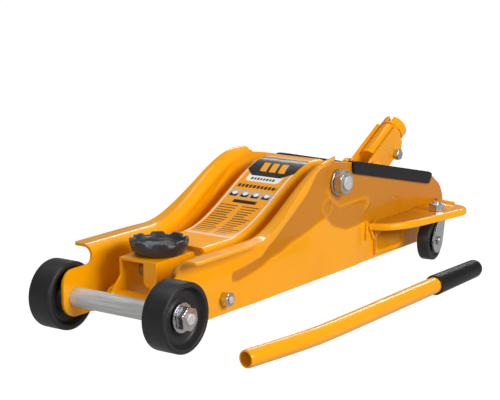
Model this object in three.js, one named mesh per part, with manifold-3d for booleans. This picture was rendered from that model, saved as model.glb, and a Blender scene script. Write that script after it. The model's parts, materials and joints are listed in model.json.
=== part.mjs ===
// A low-profile hydraulic trolley jack with its loose pump handle, in millimetres.
//
// X runs across the jack and +X is its left side, as seen by the person who pumps it.
// The saddle end points to -Y, the handle end to +Y, and Z is up from the floor.
// Shapes are drawn with x = 0 on the middle plane and y = 0 at the front axle, and the
// finished group is moved so that the origin is under the middle of the whole object.

import * as THREE from 'three';
import { mergeVertices } from 'three/addons/utils/BufferGeometryUtils.js';
import Module from 'manifold-3d';

const wasm = await Module();
wasm.setup();

// ---------------------------------------------------------------- driving dimensions

const GAP = 0.3;                                    // between pieces that touch
const BOX_CENTRE = { x: 38, y: 251 };               // middle of the whole object, seen from above

const PLATE = { inner: 54, outer: 57, bottom: 12 }; // |x| of the faces, z of the lower edge
const FLANGE = { front: 25, rear: 297, low: 79.5, high: 140.5, riseFrom: 132, riseTo: 284 };
const TOP_EDGE = { y0: 333, z0: 130, y1: 505, z1: 89.6 }; // straight rear top edge of a plate

const AXLE = { y: 0, z: 35, radius: 10, wheelSeat: 7 };
const WHEEL = { radius: 35, inner: 58.6, outer: 86.9, hubFace: 79 };
const TIE = { y: 97, z: 28, radius: 6, thread: 4 };

const MAIN_PIVOT = { y: 304, z: 113, radius: 10, thread: 8 };
const BRACKET_PIVOT = { y: 66, z: 55, radius: 7 };
const LINK_OFFSET = { y: -20.5, z: -25 };           // from each arm pivot to the link pivot
const LINK = { inner: 42, outer: 46, halfDepth: 6.5, pin: 5 };

const ARM = { half: 36, sheet: 3.5, front: 94, low: 77.5, high: 135.5, riseFrom: 143, riseTo: 300 };
const CRANK = { length: 55, restAngle: 30, pin: 8 }; // thrust pin under the main pivot, degrees

const BRACKET = { half: 24, sheet: 3, top: 73.5, front: 32, rearRadius: 31 };
const SADDLE = { y: 66, base: 74, rim: 88, lugTop: 90, radius: 30, floor: 82 };

const RAM = { z: 61.7, radius: 11, headFront: 340.3, rear: 432 };
const RESERVOIR = { front: 362, rear: 437.5, radius: 28, glandFront: 355, glandRadius: 18 };
const BLOCK = { front: 438.3, rear: 492, half: 27, bottom: 31, top: 60 };
const SPRING = { x: 42, coil: 5, wire: 1 };

const SOCKET_PIVOT = { y: 445, z: 98, radius: 6 };
const SOCKET = { slope: 30, length: 84, radius: 14, bore: 9.75, boreDepth: 62, cheek: 3 };
const PUSHER = { reach: 16, restAngle: -25, radius: 6 };
const PLUNGER = { y: 459.5, radius: 5, cap: 8, top: 84.9 };

const WING = { top: 54, sheet: 3, lipBottom: 46.6, rear: 521, webFront: 378, webRear: 483 };
const KINGPIN = { x: 85, y: 472, radius: 4 };
const CASTER = { radius: 23, half: 7.2, trail: 19.2, plateTop: 50.5, plateBottom: 47.5, leg: 8.5,
  legEnd: 14.5 };
const CASTER_TURN = { left: 8, right: 12 };        // degrees outwards from straight ahead

const HANDLE = { x: 173, radius: 9, wall: 1.9, bend: 88, tipX: 159, tipY: -5, rear: 404 };
const GRIP = { radius: 11, endRadius: 10, front: 315, rear: 410 };

// ---------------------------------------------------------------- materials

function finish(color, roughness, metalness) {
  return new THREE.MeshStandardMaterial({ color, roughness, metalness });
}

const paint = finish(0xf59a05, 0.35, 0.0);
const zinc = finish(0xc4c7c9, 0.35, 0.9);
const steel = finish(0xa9adb0, 0.4, 0.9);
const chrome = finish(0xd8dadc, 0.12, 1.0);
const castIron = finish(0x2b2c2e, 0.6, 0.2);
const tyre = finish(0x2a2a2b, 0.55, 0.0);
const rubber = finish(0x252526, 0.7, 0.0);

// ---------------------------------------------------------------- geometry helpers

const radians = THREE.MathUtils.degToRad;

// A point at a distance and an angle from another, angles from +Y towards +Z.
function polar(centre, distance, degrees) {
  const angle = radians(degrees);
  return { y: centre.y + distance * Math.cos(angle), z: centre.z + distance * Math.sin(angle) };
}

// A closed outline through [u, v] pairs.
function outline(pairs) {
  return new THREE.Shape(pairs.map(([u, v]) => new THREE.Vector2(u, v)));
}

// Pairs along an arc about (u, v), both angles in degrees.
function arc(u, v, radius, from, to, steps = 6) {
  return Array.from({ length: steps + 1 }, (_, i) => {
    const angle = radians(from + ((to - from) * i) / steps);
    return [u + radius * Math.cos(angle), v + radius * Math.sin(angle)];
  });
}

function extrude(shape, depth) {
  return new THREE.ExtrudeGeometry(shape, { depth, bevelEnabled: false, curveSegments: 8 });
}

// An outline drawn in (y, z), extruded across the jack from x0 to x1.
function acrossX(shape, x0, x1) {
  const turn = new THREE.Matrix4().makeBasis(
    new THREE.Vector3(0, 1, 0), new THREE.Vector3(0, 0, 1), new THREE.Vector3(1, 0, 0));
  return extrude(shape, x1 - x0).applyMatrix4(turn).translate(x0, 0, 0);
}

// An outline drawn in (x, z), extruded along the jack from y0 to y1.
function alongY(shape, y0, y1) {
  return extrude(shape, y1 - y0).rotateX(Math.PI / 2).translate(0, y1, 0);
}

// An outline drawn in (x, y), extruded upwards from z0 to z1.
function upZ(shape, z0, z1) {
  return extrude(shape, z1 - z0).translate(0, 0, z0);
}

function box(x0, x1, y0, y1, z0, z1) {
  return new THREE.BoxGeometry(x1 - x0, y1 - y0, z1 - z0)
    .translate((x0 + x1) / 2, (y0 + y1) / 2, (z0 + z1) / 2);
}

// A turned piece: pairs of [place along the axis, radius]. Ends lie on the axis or meet.
function turned(pairs, segments = 16) {
  const points = pairs.map(([along, radius]) => new THREE.Vector2(radius, along));
  return new THREE.LatheGeometry(points, segments);
}

function turnedX(pairs, y, z, segments) {
  return turned(pairs, segments).rotateZ(-Math.PI / 2).translate(0, y, z);
}

function turnedY(pairs, x, z, segments) {
  return turned(pairs, segments).translate(x, 0, z);
}

function turnedZ(pairs, x, y, segments) {
  return turned(pairs, segments).rotateX(Math.PI / 2).translate(x, y, 0);
}

// The profile of a plain round bar.
function bar(from, to, radius) {
  return [[from, 0], [from, radius], [to, radius], [to, 0]];
}

// The profile of a plain ring or sleeve, closed on itself.
function sleeve(from, to, outer, inner) {
  return [[from, inner], [from, outer], [to, outer], [to, inner], [from, inner]];
}

function hexagon(acrossFlats, bore) {
  const shape = outline(arc(0, 0, acrossFlats / Math.sqrt(3), 0, 300, 5));
  shape.holes.push(new THREE.Path().setFromPoints(
    arc(0, 0, bore, 360, 24, 14).map(([u, v]) => new THREE.Vector2(u, v))));
  return shape;
}

// A hexagon nut whose axis runs across the jack.
function nutX(acrossFlats, bore, x0, x1, y, z) {
  return acrossX(hexagon(acrossFlats, bore), x0, x1).translate(0, y, z);
}

// The same shape on the other side of the middle plane.
function mirrored(geometry) {
  const copy = geometry.index ? geometry.toNonIndexed() : geometry.clone();
  const points = copy.attributes.position;
  for (let corner = 0; corner < points.count; corner += 3) {
    const triangle = [0, 1, 2].map((i) => [
      points.getX(corner + i), points.getY(corner + i), points.getZ(corner + i)]);
    triangle.reverse().forEach(([x, y, z], i) => points.setXYZ(corner + i, -x, y, z));
  }
  return copy;
}

// ---------------------------------------------------------------- joining and cutting

function toSolid(geometry) {
  const bare = geometry.clone();
  bare.deleteAttribute('normal');
  bare.deleteAttribute('uv');
  const welded = mergeVertices(bare, 1e-4);
  const corners = Array.from(welded.index.array);
  const faces = [];
  for (let i = 0; i < corners.length; i += 3) {
    const [a, b, c] = corners.slice(i, i + 3);
    if (a !== b && b !== c && c !== a) faces.push(a, b, c);
  }
  return new wasm.Manifold(new wasm.Mesh({
    numProp: 3,
    vertProperties: new Float32Array(welded.attributes.position.array),
    triVerts: new Uint32Array(faces),
  }));
}

function toGeometry(solid) {
  const mesh = solid.getMesh();
  const geometry = new THREE.BufferGeometry();
  geometry.setAttribute('position', new THREE.BufferAttribute(mesh.vertProperties, 3));
  geometry.setIndex(new THREE.BufferAttribute(mesh.triVerts, 1));
  geometry.computeVertexNormals();
  return geometry;
}

// Joins the first list of shapes, then cuts the second list out of them.
function build(joined, cut = []) {
  let solid = toSolid(joined[0]);
  for (const shape of joined.slice(1)) solid = solid.add(toSolid(shape));
  for (const shape of cut) solid = solid.subtract(toSolid(shape));
  return toGeometry(solid);
}

// ---------------------------------------------------------------- assembly helpers

const jack = new THREE.Group();
jack.position.set(-BOX_CENTRE.x, -BOX_CENTRE.y, 0);

function place(name, geometry, material, parent = jack) {
  const mesh = new THREE.Mesh(geometry, material);
  mesh.name = name;
  parent.add(mesh);
  return mesh;
}

// A pair of like pieces: drawn for the left side and mirrored for the right.
function placePair(name, geometry, material) {
  place(`${name}_left`, geometry, material);
  place(`${name}_right`, mirrored(geometry), material);
}

// ---------------------------------------------------------------- curves

// An S-shaped rise from one level to another: 3t^2 - 2t^3 between riseFrom and riseTo.
function rise(curve, y) {
  const t = THREE.MathUtils.clamp((y - curve.riseFrom) / (curve.riseTo - curve.riseFrom), 0, 1);
  return curve.low + (curve.high - curve.low) * t * t * (3 - 2 * t);
}

class RiseCurve extends THREE.Curve {
  constructor(curve, from, to) {
    super();
    this.curve = curve;
    this.from = from;
    this.to = to;
  }

  getPoint(t, target = new THREE.Vector3()) {
    const y = THREE.MathUtils.lerp(this.from, this.to, t);
    return target.set(0, y, rise(this.curve, y));
  }

  // A section carried along stays square to the path: its u axis is -X, its v axis points up.
  computeFrenetFrames(segments) {
    const tangents = Array.from({ length: segments + 1 }, (_, i) => this.getTangentAt(i / segments));
    const normals = tangents.map(() => new THREE.Vector3(-1, 0, 0));
    const binormals = tangents.map((t, i) => new THREE.Vector3().crossVectors(t, normals[i]));
    return { tangents, normals, binormals };
  }
}

// A helix about a line along +Y, from y0 to y1.
class Helix extends THREE.Curve {
  constructor(radius, y0, y1, turns) {
    super();
    Object.assign(this, { radius, y0, y1, turns });
  }

  getPoint(t, target = new THREE.Vector3()) {
    const angle = 2 * Math.PI * this.turns * t;
    return target.set(this.radius * Math.cos(angle), THREE.MathUtils.lerp(this.y0, this.y1, t),
      this.radius * Math.sin(angle));
  }
}

function sweep(shape, path, steps) {
  return new THREE.ExtrudeGeometry(shape, { extrudePath: path, steps, bevelEnabled: false });
}

function coilSpring(y0, y1, turns) {
  const wire = outline(arc(0, 0, SPRING.wire, 0, 288, 4));
  return sweep(wire, new Helix(SPRING.coil, y0, y1, turns), turns * 8);
}

// ---------------------------------------------------------------- frame

// The bent-out top flange: an L-section carried along the S-shaped top edge.
function plateFlange() {
  const { inner, outer } = PLATE;
  const bendX = inner + 8;
  const section = outline([
    [-outer, -12], [-inner, -12], [-inner, -8],
    ...arc(-bendX, -8, 8, 0, 90, 3).slice(1),
    [-80, 0], [-80, -3],
    ...arc(-bendX, -8, 5, 90, 0, 3),
  ]);
  const strip = sweep(section, new RiseCurve(FLANGE, FLANGE.front, FLANGE.rear), 16);
  const planEdge = new THREE.SplineCurve([
    [79.5, FLANGE.front + 4], [79.5, 110], [74, 175], [69.5, 215], [66.5, 262], [63, 288],
  ].map(([x, y]) => new THREE.Vector2(x, y))).getPoints(12).map(({ x, y }) => [x, y]);
  const plan = outline([
    [inner - 1, FLANGE.front - 5], [70, FLANGE.front - 5], ...planEdge,
    [outer, FLANGE.rear + 1], [inner - 1, FLANGE.rear + 1],
  ]);
  return toGeometry(toSolid(strip).intersect(toSolid(upZ(plan, 40, 160))));
}

function plateWeb() {
  const { inner, outer, bottom } = PLATE;
  const steps = Array.from({ length: 9 }, (_, i) => FLANGE.riseFrom + i * 19);
  const profile = outline([
    [40, bottom], [22, 15],
    ...arc(0, 33, 18, 270, 180, 5),
    ...arc(-2, 48, 16, 180, 90, 5),
    [22, 64], [28, 65], [30, 69],
    [31, FLANGE.low - 6],
    ...steps.map((y) => [y, rise(FLANGE, y) - 6]),
    [292, 136], [303, 135.6], [319, 133],
    [TOP_EDGE.y0, TOP_EDGE.z0], [TOP_EDGE.y1, TOP_EDGE.z1],
    ...arc(496, 48, 40, 42, -60, 8),
    [498, bottom],
  ]);
  return acrossX(profile, inner, outer);
}

function sidePlate() {
  const { inner, outer } = PLATE;
  const through = [inner - 1, outer + 1];
  return build([plateWeb(), plateFlange()], [
    turnedX(bar(...through, AXLE.wheelSeat + GAP), AXLE.y, AXLE.z),
    turnedX(bar(...through, TIE.thread + GAP), TIE.y, TIE.z, 16),
    turnedX(bar(...through, MAIN_PIVOT.thread + GAP), MAIN_PIVOT.y, MAIN_PIVOT.z),
  ]);
}

// A soft channel pressed over the straight rear top edge of a plate.
function edgeGrip(start) {
  const { inner, outer } = PLATE;
  const run = Math.hypot(TOP_EDGE.y1 - TOP_EDGE.y0, TOP_EDGE.z1 - TOP_EDGE.z0);
  const slope = Math.atan2(TOP_EDGE.z1 - TOP_EDGE.z0, TOP_EDGE.y1 - TOP_EDGE.y0);
  const section = outline([
    [inner - 2.6, -12], [inner - 2.6, 1], [inner - 1.6, 2.2], [outer + 1.6, 2.2],
    [outer + 2.6, 1], [outer + 2.6, -12], [outer + GAP, -12], [outer + GAP, GAP],
    [inner - GAP, GAP], [inner - GAP, -12],
  ]);
  return alongY(section, start, run).rotateX(slope)
    .translate(0, TOP_EDGE.y0, TOP_EDGE.z0);
}

// A plate wing that carries a caster: a flat shelf with a turned-down lip and a web
// that is welded to the side plate.
function wing() {
  const inside = PLATE.outer + GAP;
  const edge = [
    [inside, 368], [78, 379], [86, 392], [94, 411], [98.5, 435], [102, 456], [105, 475],
    [107.6, 492], [108, 501], [104.5, 510], [96, 517], [inside, WING.rear],
  ];
  const shelf = upZ(outline(edge), WING.lipBottom, WING.top);
  const centre = [inside - 60, 452];
  const under = edge.map(([x, y]) => {
    const reach = Math.hypot(x - centre[0], y - centre[1]);
    const pull = (reach - WING.sheet) / reach;
    return [centre[0] + (x - centre[0]) * pull, centre[1] + (y - centre[1]) * pull];
  });
  under[0][0] = inside - 1;
  under[under.length - 1][0] = inside - 1;
  const web = acrossX(outline([
    [WING.webFront, 17], [WING.webRear, 14], [WING.webRear, WING.top - 1],
    [WING.webFront, WING.top - 1],
  ]), inside, inside + WING.sheet);
  const hollow = upZ(outline(under), WING.lipBottom - 1, WING.top - WING.sheet);
  const kingpin = turnedZ(bar(40, 60, KINGPIN.radius + GAP), KINGPIN.x, KINGPIN.y, 16);
  const shelfOnly = build([shelf], [hollow, kingpin]);
  return build([shelfOnly, web]);
}

function addFrame() {
  placePair('side_plate', sidePlate(), paint);
  place('edge_grip_left', edgeGrip(0), rubber);
  place('edge_grip_right', mirrored(edgeGrip(20)), rubber);
  placePair('caster_wing', wing(), paint);
  const width = PLATE.inner - GAP;
  place('base_plate', box(-width, width, 352, 500, 13, 16), paint);
  place('rear_cross_bar', turnedX(bar(-width, width, 8), 512, 30), paint);
}

// ---------------------------------------------------------------- fasteners and shafts

// Steps on one end of a shaft, repeated at the other end.
function bothEnds(steps) {
  const back = steps.map(([along, radius]) => [-along, radius]);
  return [...back, ...steps.reverse()];
}

function addFrontAxle() {
  const seat = AXLE.wheelSeat;
  const shaft = bothEnds([[93, 0], [93, 5], [92, 6], [WHEEL.hubFace + 1, 6],
    [WHEEL.hubFace + 1, seat], [PLATE.inner - GAP, seat], [PLATE.inner - GAP, AXLE.radius]]);
  place('front_axle', turnedX(shaft, AXLE.y, AXLE.z), steel);
  const washer = sleeve(WHEEL.hubFace + 1.3, WHEEL.hubFace + 3.3, 15, 6 + GAP);
  placePair('wheel_washer', turnedX(washer, AXLE.y, AXLE.z), zinc);
  placePair('wheel_nut', nutX(22, 6 + GAP, 82.6, 90.8, AXLE.y, AXLE.z), zinc);
}

function addFrontTie() {
  const rod = bothEnds([[67, 0], [67, TIE.thread], [PLATE.inner - GAP, TIE.thread],
    [PLATE.inner - GAP, TIE.radius]]);
  place('front_tie_rod', turnedX(rod, TIE.y, TIE.z), steel);
  placePair('tie_nut', nutX(13.5, TIE.thread + GAP, 57.4, 65.6, TIE.y, TIE.z), zinc);
}

function addMainPivot() {
  const { y, z, radius, thread } = MAIN_PIVOT;
  const collar = ARM.half + 0.6;
  const shaft = bothEnds([[72, 0], [72, thread], [PLATE.inner - GAP, thread],
    [PLATE.inner - GAP, 14], [collar, 14], [collar, radius]]);
  place('main_pivot_shaft', turnedX(shaft, y, z), steel);
  placePair('pivot_washer', turnedX(sleeve(57.4, 59.9, 14.5, thread + GAP), y, z), zinc);
  placePair('pivot_nut', nutX(24, thread + GAP, 60.2, 70, y, z), zinc);
}

// ---------------------------------------------------------------- rolling gear

function addFrontWheels() {
  const { radius, inner, outer, hubFace } = WHEEL;
  const profile = [
    [61, 7.3], [61, 14], [65, 16], [65, 27], [inner, 30.5],
    [inner, radius - 2.2], [inner + 2.2, radius], [outer - 2.2, radius],
    [outer, radius - 2.2], [outer, 30.5], [79.5, 26.5], [77, 17],
    [hubFace, 16], [hubFace, 7.3], [61, 7.3],
  ];
  placePair('front_wheel', turnedX(profile, AXLE.y, AXLE.z, 28), tyre);
}

// The fork in its own frame: the swivel axis is x = y = 0 and the wheel trails to -Y.
function casterFork() {
  const { trail, plateTop, plateBottom, leg } = CASTER;
  const side = [
    [12, plateTop], [-14, plateTop], [-22, 44],
    ...arc(-trail, CASTER.radius, CASTER.legEnd, 165, 345, 8),
    [1.7, 42], [12, plateBottom - 1],
  ];
  const corners = turnedZ(sleeve(45.9, 60, 40, 14.8), 0, 0, 24);
  const hole = turnedX(bar(-20, 20, 3 + GAP), -trail, CASTER.radius, 12);
  const inside = box(-leg, leg, -60, 60, 0, plateBottom);
  const pin = turnedZ(bar(40, 60, KINGPIN.radius + GAP), 0, 0, 16);
  return build([acrossX(outline(side), -leg - 2, leg + 2)], [inside, hole, pin, corners]);
}

function casterWheel() {
  const { radius, half, trail } = CASTER;
  const profile = [
    [-half - 0.6, 3 + GAP], [-half - 0.6, 6], [-half, 7], [-half, radius - 2],
    [-half + 2, radius], [half - 2, radius], [half, radius - 2], [half, 7],
    [half + 0.6, 6], [half + 0.6, 3 + GAP], [-half - 0.6, 3 + GAP],
  ];
  return turnedX(profile, -trail, radius, 24);
}

function addCaster(side, sign, turn) {
  const swivel = new THREE.Group();
  swivel.position.set(sign * KINGPIN.x, KINGPIN.y, 0);
  swivel.rotation.z = sign * radians(turn);
  jack.add(swivel);
  const axle = [[-13.5, 0], [-13.5, 5], [-10.8, 5], [-10.8, 3], [10.8, 3], [10.8, 5], [13.5, 5],
    [13.5, 0]];
  place(`caster_fork_${side}`, casterFork(), zinc, swivel);
  place(`caster_wheel_${side}`, casterWheel(), tyre, swivel);
  place(`caster_axle_${side}`, turnedX(axle, -CASTER.trail, CASTER.radius, 16), zinc, swivel);
}

function addCasters() {
  addCaster('left', 1, CASTER_TURN.left);
  addCaster('right', -1, CASTER_TURN.right);
  const { x, y, radius } = KINGPIN;
  const bolt = [[43.4, 0], [43.4, 7.5], [47.2, 7.5], [47.2, radius], [65, radius], [65, 0]];
  placePair('kingpin', turnedZ(bolt, x, y, 20), zinc);
  const nut = upZ(hexagon(17, radius + GAP), WING.top + GAP, 63).translate(x, y, 0);
  placePair('kingpin_nut', nut, zinc);
}

// ---------------------------------------------------------------- lifting linkage

const thrustPin = polar(MAIN_PIVOT, CRANK.length, CRANK.restAngle - 90);

function armSide() {
  const steps = Array.from({ length: 16 }, (_, i) => ARM.riseFrom + i * 10.4);
  const { y, z } = MAIN_PIVOT;
  return outline([
    ...arc(BRACKET_PIVOT.y, BRACKET_PIVOT.z, 14, 270, 120, 7),
    [80, ARM.low - 7], [ARM.front, ARM.low],
    ...steps.map((at) => [at, rise(ARM, at)]),
    ...arc(y, z, ARM.high - z, 90, 0, 6),
    ...arc(thrustPin.y, thrustPin.z, 12, 15, -150, 7),
    [304, 84], [270, 80], [232, 72], [190, 56], [150, 46],
  ]);
}

function liftArm() {
  const { half, sheet } = ARM;
  const inside = outline([
    [-60, -60], [-60, ARM.low - sheet],
    ...Array.from({ length: 16 }, (_, i) => ARM.riseFrom + i * 10.4)
      .map((at) => [at, rise(ARM, at) - sheet]),
    ...arc(MAIN_PIVOT.y, MAIN_PIVOT.z, ARM.high - MAIN_PIVOT.z - sheet, 90, 20, 5),
    [400, 118], [400, -60],
  ]);
  const shell = build([acrossX(armSide(), -half, half)],
    [acrossX(inside, -half + sheet, half - sheet)]);
  const nose = box(-half + sheet, half - sheet, 20, ARM.front, 60, 90);
  const hub = turnedX(bar(-half, half, 15), MAIN_PIVOT.y, MAIN_PIVOT.z);
  const through = half + 1;
  return build([build([shell], [nose]), hub], [
    turnedX(bar(-through, through, MAIN_PIVOT.radius + GAP), MAIN_PIVOT.y, MAIN_PIVOT.z),
    turnedX(bar(-through, through, BRACKET_PIVOT.radius + GAP), BRACKET_PIVOT.y, BRACKET_PIVOT.z),
    turnedX(bar(-through, through, CRANK.pin + GAP), thrustPin.y, thrustPin.z),
  ]);
}

const linkFront = { y: BRACKET_PIVOT.y + LINK_OFFSET.y, z: BRACKET_PIVOT.z + LINK_OFFSET.z };
const linkRear = { y: MAIN_PIVOT.y + LINK_OFFSET.y, z: MAIN_PIVOT.z + LINK_OFFSET.z };

// A flat bar with round ends that keeps the saddle level.
function radiusLink() {
  const slope = THREE.MathUtils.radToDeg(
    Math.atan2(linkRear.z - linkFront.z, linkRear.y - linkFront.y));
  const side = outline([
    ...arc(linkFront.y, linkFront.z, LINK.halfDepth + 2, slope + 110, slope + 250, 7),
    ...arc(linkRear.y, linkRear.z, LINK.halfDepth + 2, slope - 70, slope + 70, 7),
  ]);
  return build([acrossX(side, LINK.inner, LINK.outer)], [
    turnedX(bar(40, 50, LINK.pin + GAP), linkFront.y, linkFront.z),
    turnedX(bar(40, 50, LINK.pin + GAP), linkRear.y, linkRear.z),
  ]);
}

function bracketSide() {
  const { y, z } = BRACKET_PIVOT;
  return outline([
    [BRACKET.front, BRACKET.top], [BRACKET.front, 55], [17, 40], [17, 37],
    ...arc(linkFront.y, linkFront.z, 10, 200, 285, 4),
    ...arc(y, z, BRACKET.rearRadius, 290, 396.6, 7),
  ]);
}

// A folded box, open to the front and the rear, with the saddle on its roof.
function saddleBracket() {
  const { half, sheet, top, front } = BRACKET;
  const inside = half - sheet;
  const tongueEnd = new THREE.Shape();
  tongueEnd.moveTo(7, top - 1).lineTo(7, 54).quadraticCurveTo(7, 46, 16, 46);
  tongueEnd.lineTo(inside + 1, 46).lineTo(inside + 1, top - 1).closePath();
  const hollow = build([
    box(-inside, inside, 0, 120, 40, top - sheet),
    box(-inside, inside, 34, 120, 0, 45),
    box(-inside, inside, 0, 40, 0, 37),
  ]);
  const shell = build([acrossX(bracketSide(), -half, half)], [hollow]);
  const through = half + 1;
  return build([shell, alongY(tongueEnd, front, front + sheet)], [
    turnedX(bar(-through, through, BRACKET_PIVOT.radius + GAP), BRACKET_PIVOT.y, BRACKET_PIVOT.z),
    turnedX(bar(-through, through, LINK.pin + GAP), linkFront.y, linkFront.z),
    turnedZ(bar(60, 80, 7 + GAP), 0, SADDLE.y, 20),
  ]);
}

function saddle() {
  const { base, rim, radius, floor, lugTop, y } = SADDLE;
  const cup = turnedZ([
    [66, 0], [66, 7], [base, 7], [base, 24.5], [base + 3, 27], [base + 9, radius - 0.5],
    [rim - 2, radius], [rim, radius - 0.6], [rim, 26], [floor + 1, 23.5], [floor, 22],
    [floor, 0],
  ], 0, 0, 24);
  const lugs = Array.from({ length: 8 }, (_, i) => box(24.6, 29.2, -4.5, 4.5, floor + 2, lugTop)
    .rotateZ((i * Math.PI) / 4 + Math.PI / 8));
  return build([cup, ...lugs]).translate(0, y, 0);
}

function addLinkage() {
  place('lift_arm', liftArm(), paint);
  const thrust = bar(-38, 38, CRANK.pin);
  place('thrust_pin', turnedX(thrust, thrustPin.y, thrustPin.z), steel);
  const armPin = bothEnds([[39.5, 0], [39.5, 9], [36.4, 9], [36.4, BRACKET_PIVOT.radius],
    [32.1, BRACKET_PIVOT.radius], [32.1, 10], [24.4, 10], [24.4, BRACKET_PIVOT.radius]]);
  place('bracket_pin', turnedX(armPin, BRACKET_PIVOT.y, BRACKET_PIVOT.z), zinc);
  placePair('radius_link', radiusLink(), paint);
  const frontPin = bothEnds([[49.5, 0], [49.5, 7], [46.4, 7], [46.4, LINK.pin]]);
  place('link_front_pin', turnedX(frontPin, linkFront.y, linkFront.z, 16), zinc);
  const rearPin = [[38.6, 0], [38.6, 8], [41.6, 8], [41.6, LINK.pin],
    [PLATE.inner - GAP, LINK.pin], [PLATE.inner - GAP, 0]];
  placePair('link_rear_pin', turnedX(rearPin, linkRear.y, linkRear.z, 16), zinc);
  place('saddle_bracket', saddleBracket(), paint);
  place('saddle', saddle(), castIron);
  place('saddle_ring', turnedZ(sleeve(67.5, 69.5, 11, 7 + GAP), 0, SADDLE.y), zinc);
}

// ---------------------------------------------------------------- hydraulic unit

function ram() {
  const pusher = box(-28, 28, RAM.headFront, 350, 47, 78);
  const yoke = box(-47, 47, 346, 351.6, 55, 60); // low enough to pass behind the raised arm
  const springEar = box(37.5, 47, 346, 351.6, 55, 69);
  const rod = turnedY([[350, 0], [350, RAM.radius], [RAM.rear, RAM.radius], [RAM.rear, 0]], 0, RAM.z);
  return build([pusher, yoke, springEar, mirrored(springEar), rod]);
}

function reservoir() {
  const { front, rear, radius, glandFront, glandRadius } = RESERVOIR;
  const bore = RAM.radius + GAP;
  const shell = turnedY([
    [glandFront, bore], [glandFront, glandRadius], [front, glandRadius], [front, radius - 2],
    [front + 2, radius], [rear, radius], [rear, 0], [RAM.rear + 2, 0], [RAM.rear + 2, bore],
    [glandFront, bore],
  ], 0, RAM.z, 32);
  const filler = turnedZ(bar(80, 110, 5 + GAP), 0, 402, 16);
  return build([shell], [filler]);
}

function pumpBlock() {
  const { front, rear, half, bottom, top } = BLOCK;
  const body = box(-half, half, front, rear, bottom, top);
  const boss = turnedZ(bar(top - 2, 66, 12), 0, PLUNGER.y);
  const ear = outline([
    [front, top - 2], [457, top - 2], [457, SOCKET_PIVOT.z],
    ...arc(SOCKET_PIVOT.y, SOCKET_PIVOT.z, 12, 0, 123, 5).slice(1), [front, 100],
  ]);
  const lug = box(-48, 48, front, 446, 57, top);
  return build([
    body, boss, lug, acrossX(ear, 17, 24), acrossX(ear, -24, -17),
  ], [
    turnedZ(bar(40, 70, PLUNGER.radius + GAP), 0, PLUNGER.y, 20),
    turnedX(bar(-30, 30, SOCKET_PIVOT.radius + GAP), SOCKET_PIVOT.y, SOCKET_PIVOT.z, 20),
    turnedY(bar(rear - 20, rear + 1, 5 + GAP), 0, 48, 16),
  ]);
}

function addHydraulics() {
  place('ram', ram(), chrome);
  place('reservoir', reservoir(), paint);
  place('pump_block', pumpBlock(), paint);
  const plug = [[86, 0], [86, 5], [92.2, 5], [92.2, 8], [95, 8], [95, 0]];
  place('filler_plug', turnedZ(plug, 0, 402, 20), rubber);
  const plunger = [[41, 0], [41, PLUNGER.radius], [81.4, PLUNGER.radius],
    [81.4, PLUNGER.cap], [PLUNGER.top - 1, PLUNGER.cap], [PLUNGER.top, PLUNGER.cap - 1],
    [PLUNGER.top, 0]];
  place('pump_plunger', turnedZ(plunger, 0, PLUNGER.y, 20), chrome);
  const wire = outline(arc(0, 0, SPRING.wire, 0, 288, 4));
  const pumpCoil = sweep(wire, new Helix(6.8, 67.6, 80, 4), 36).rotateX(Math.PI / 2)
    .translate(0, PLUNGER.y, 0);
  place('plunger_spring', pumpCoil, steel);
  const coil = coilSpring(352.9 + SPRING.wire, BLOCK.front - 2, 9);
  placePair('return_spring', coil.translate(SPRING.x, 0, RAM.z), steel);
  const valve = [[476, 0], [476, 5], [BLOCK.rear + GAP, 5], [BLOCK.rear + GAP, 9], [498, 9],
    [498, 5.5], [518, 5.5], [518, 0]];
  const tang = [box(-8, 8, 507, 520, 50.5, 60), box(-8, 8, 507, 520, 36, 45.5)];
  place('release_valve', build([turnedY(valve, 0, 48)], tang), zinc);
}

// ---------------------------------------------------------------- handle socket

const pusher = polar(SOCKET_PIVOT, PUSHER.reach, PUSHER.restAngle);
const clamp = { y: 497, z: 110, radius: 4 };

// The socket in its own frame has its pivot at the origin and its tube along +Y.
function handleSocket() {
  const { length, radius, bore, boreDepth, cheek } = SOCKET;
  const outer = [[18, 0], [18, radius], [length, radius], [length, 0]];
  const tube = turnedY(outer, 0, 0, 20);
  const side = outline([
    ...arc(0, 0, 12, 110, 250, 6),
    [20, -19], [52, -radius - 4], [64, -radius - 4], [70, -radius + 3], [70, 13], [6, 13],
  ]);
  const cheeks = acrossX(side, radius - cheek, radius);
  const collar = turnedY(bar(length - 12, length, radius + 1.4), 0, 0, 20);
  return build([tube, collar, cheeks, mirrored(cheeks)], [
    turnedY(bar(length - boreDepth, length + 1, bore), 0, 0, 20),
    box(-3, 3, length - 9, length + 1, 5, radius + 4),
  ]).rotateX(radians(SOCKET.slope)).translate(0, SOCKET_PIVOT.y, SOCKET_PIVOT.z);
}

function addHandleSocket() {
  const { y, z, radius } = SOCKET_PIVOT;
  place('handle_socket', build([handleSocket()], [
    turnedX(bar(-20, 20, radius + GAP), y, z, 20),
    turnedX(bar(-20, 20, 3 + GAP), pusher.y, pusher.z, 16),
    turnedX(bar(-20, 20, clamp.radius + GAP), clamp.y, clamp.z, 16),
  ]), paint);
  const pin = bothEnds([[27, 0], [27, 9], [24.3, 9], [24.3, radius]]);
  place('socket_pin', turnedX(pin, y, z), zinc);
  const roller = bothEnds([[13.6, 0], [13.6, 3], [10.6, 3], [10.6, PUSHER.radius]]);
  place('pump_roller', turnedX(roller, pusher.y, pusher.z), steel);
  const screw = build([
    turnedX(bar(-15, 15, clamp.radius), 0, 0, 16),
    acrossX(outline(arc(0, 0, 7, 0, 300, 5)), 14.3, 20),
    acrossX(outline(arc(0, 0, 7, 0, 300, 5)), -20, -14.3),
  ]).translate(0, clamp.y, clamp.z);
  place('clamp_screw', screw, zinc);
}

// ---------------------------------------------------------------- pump handle

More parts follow.
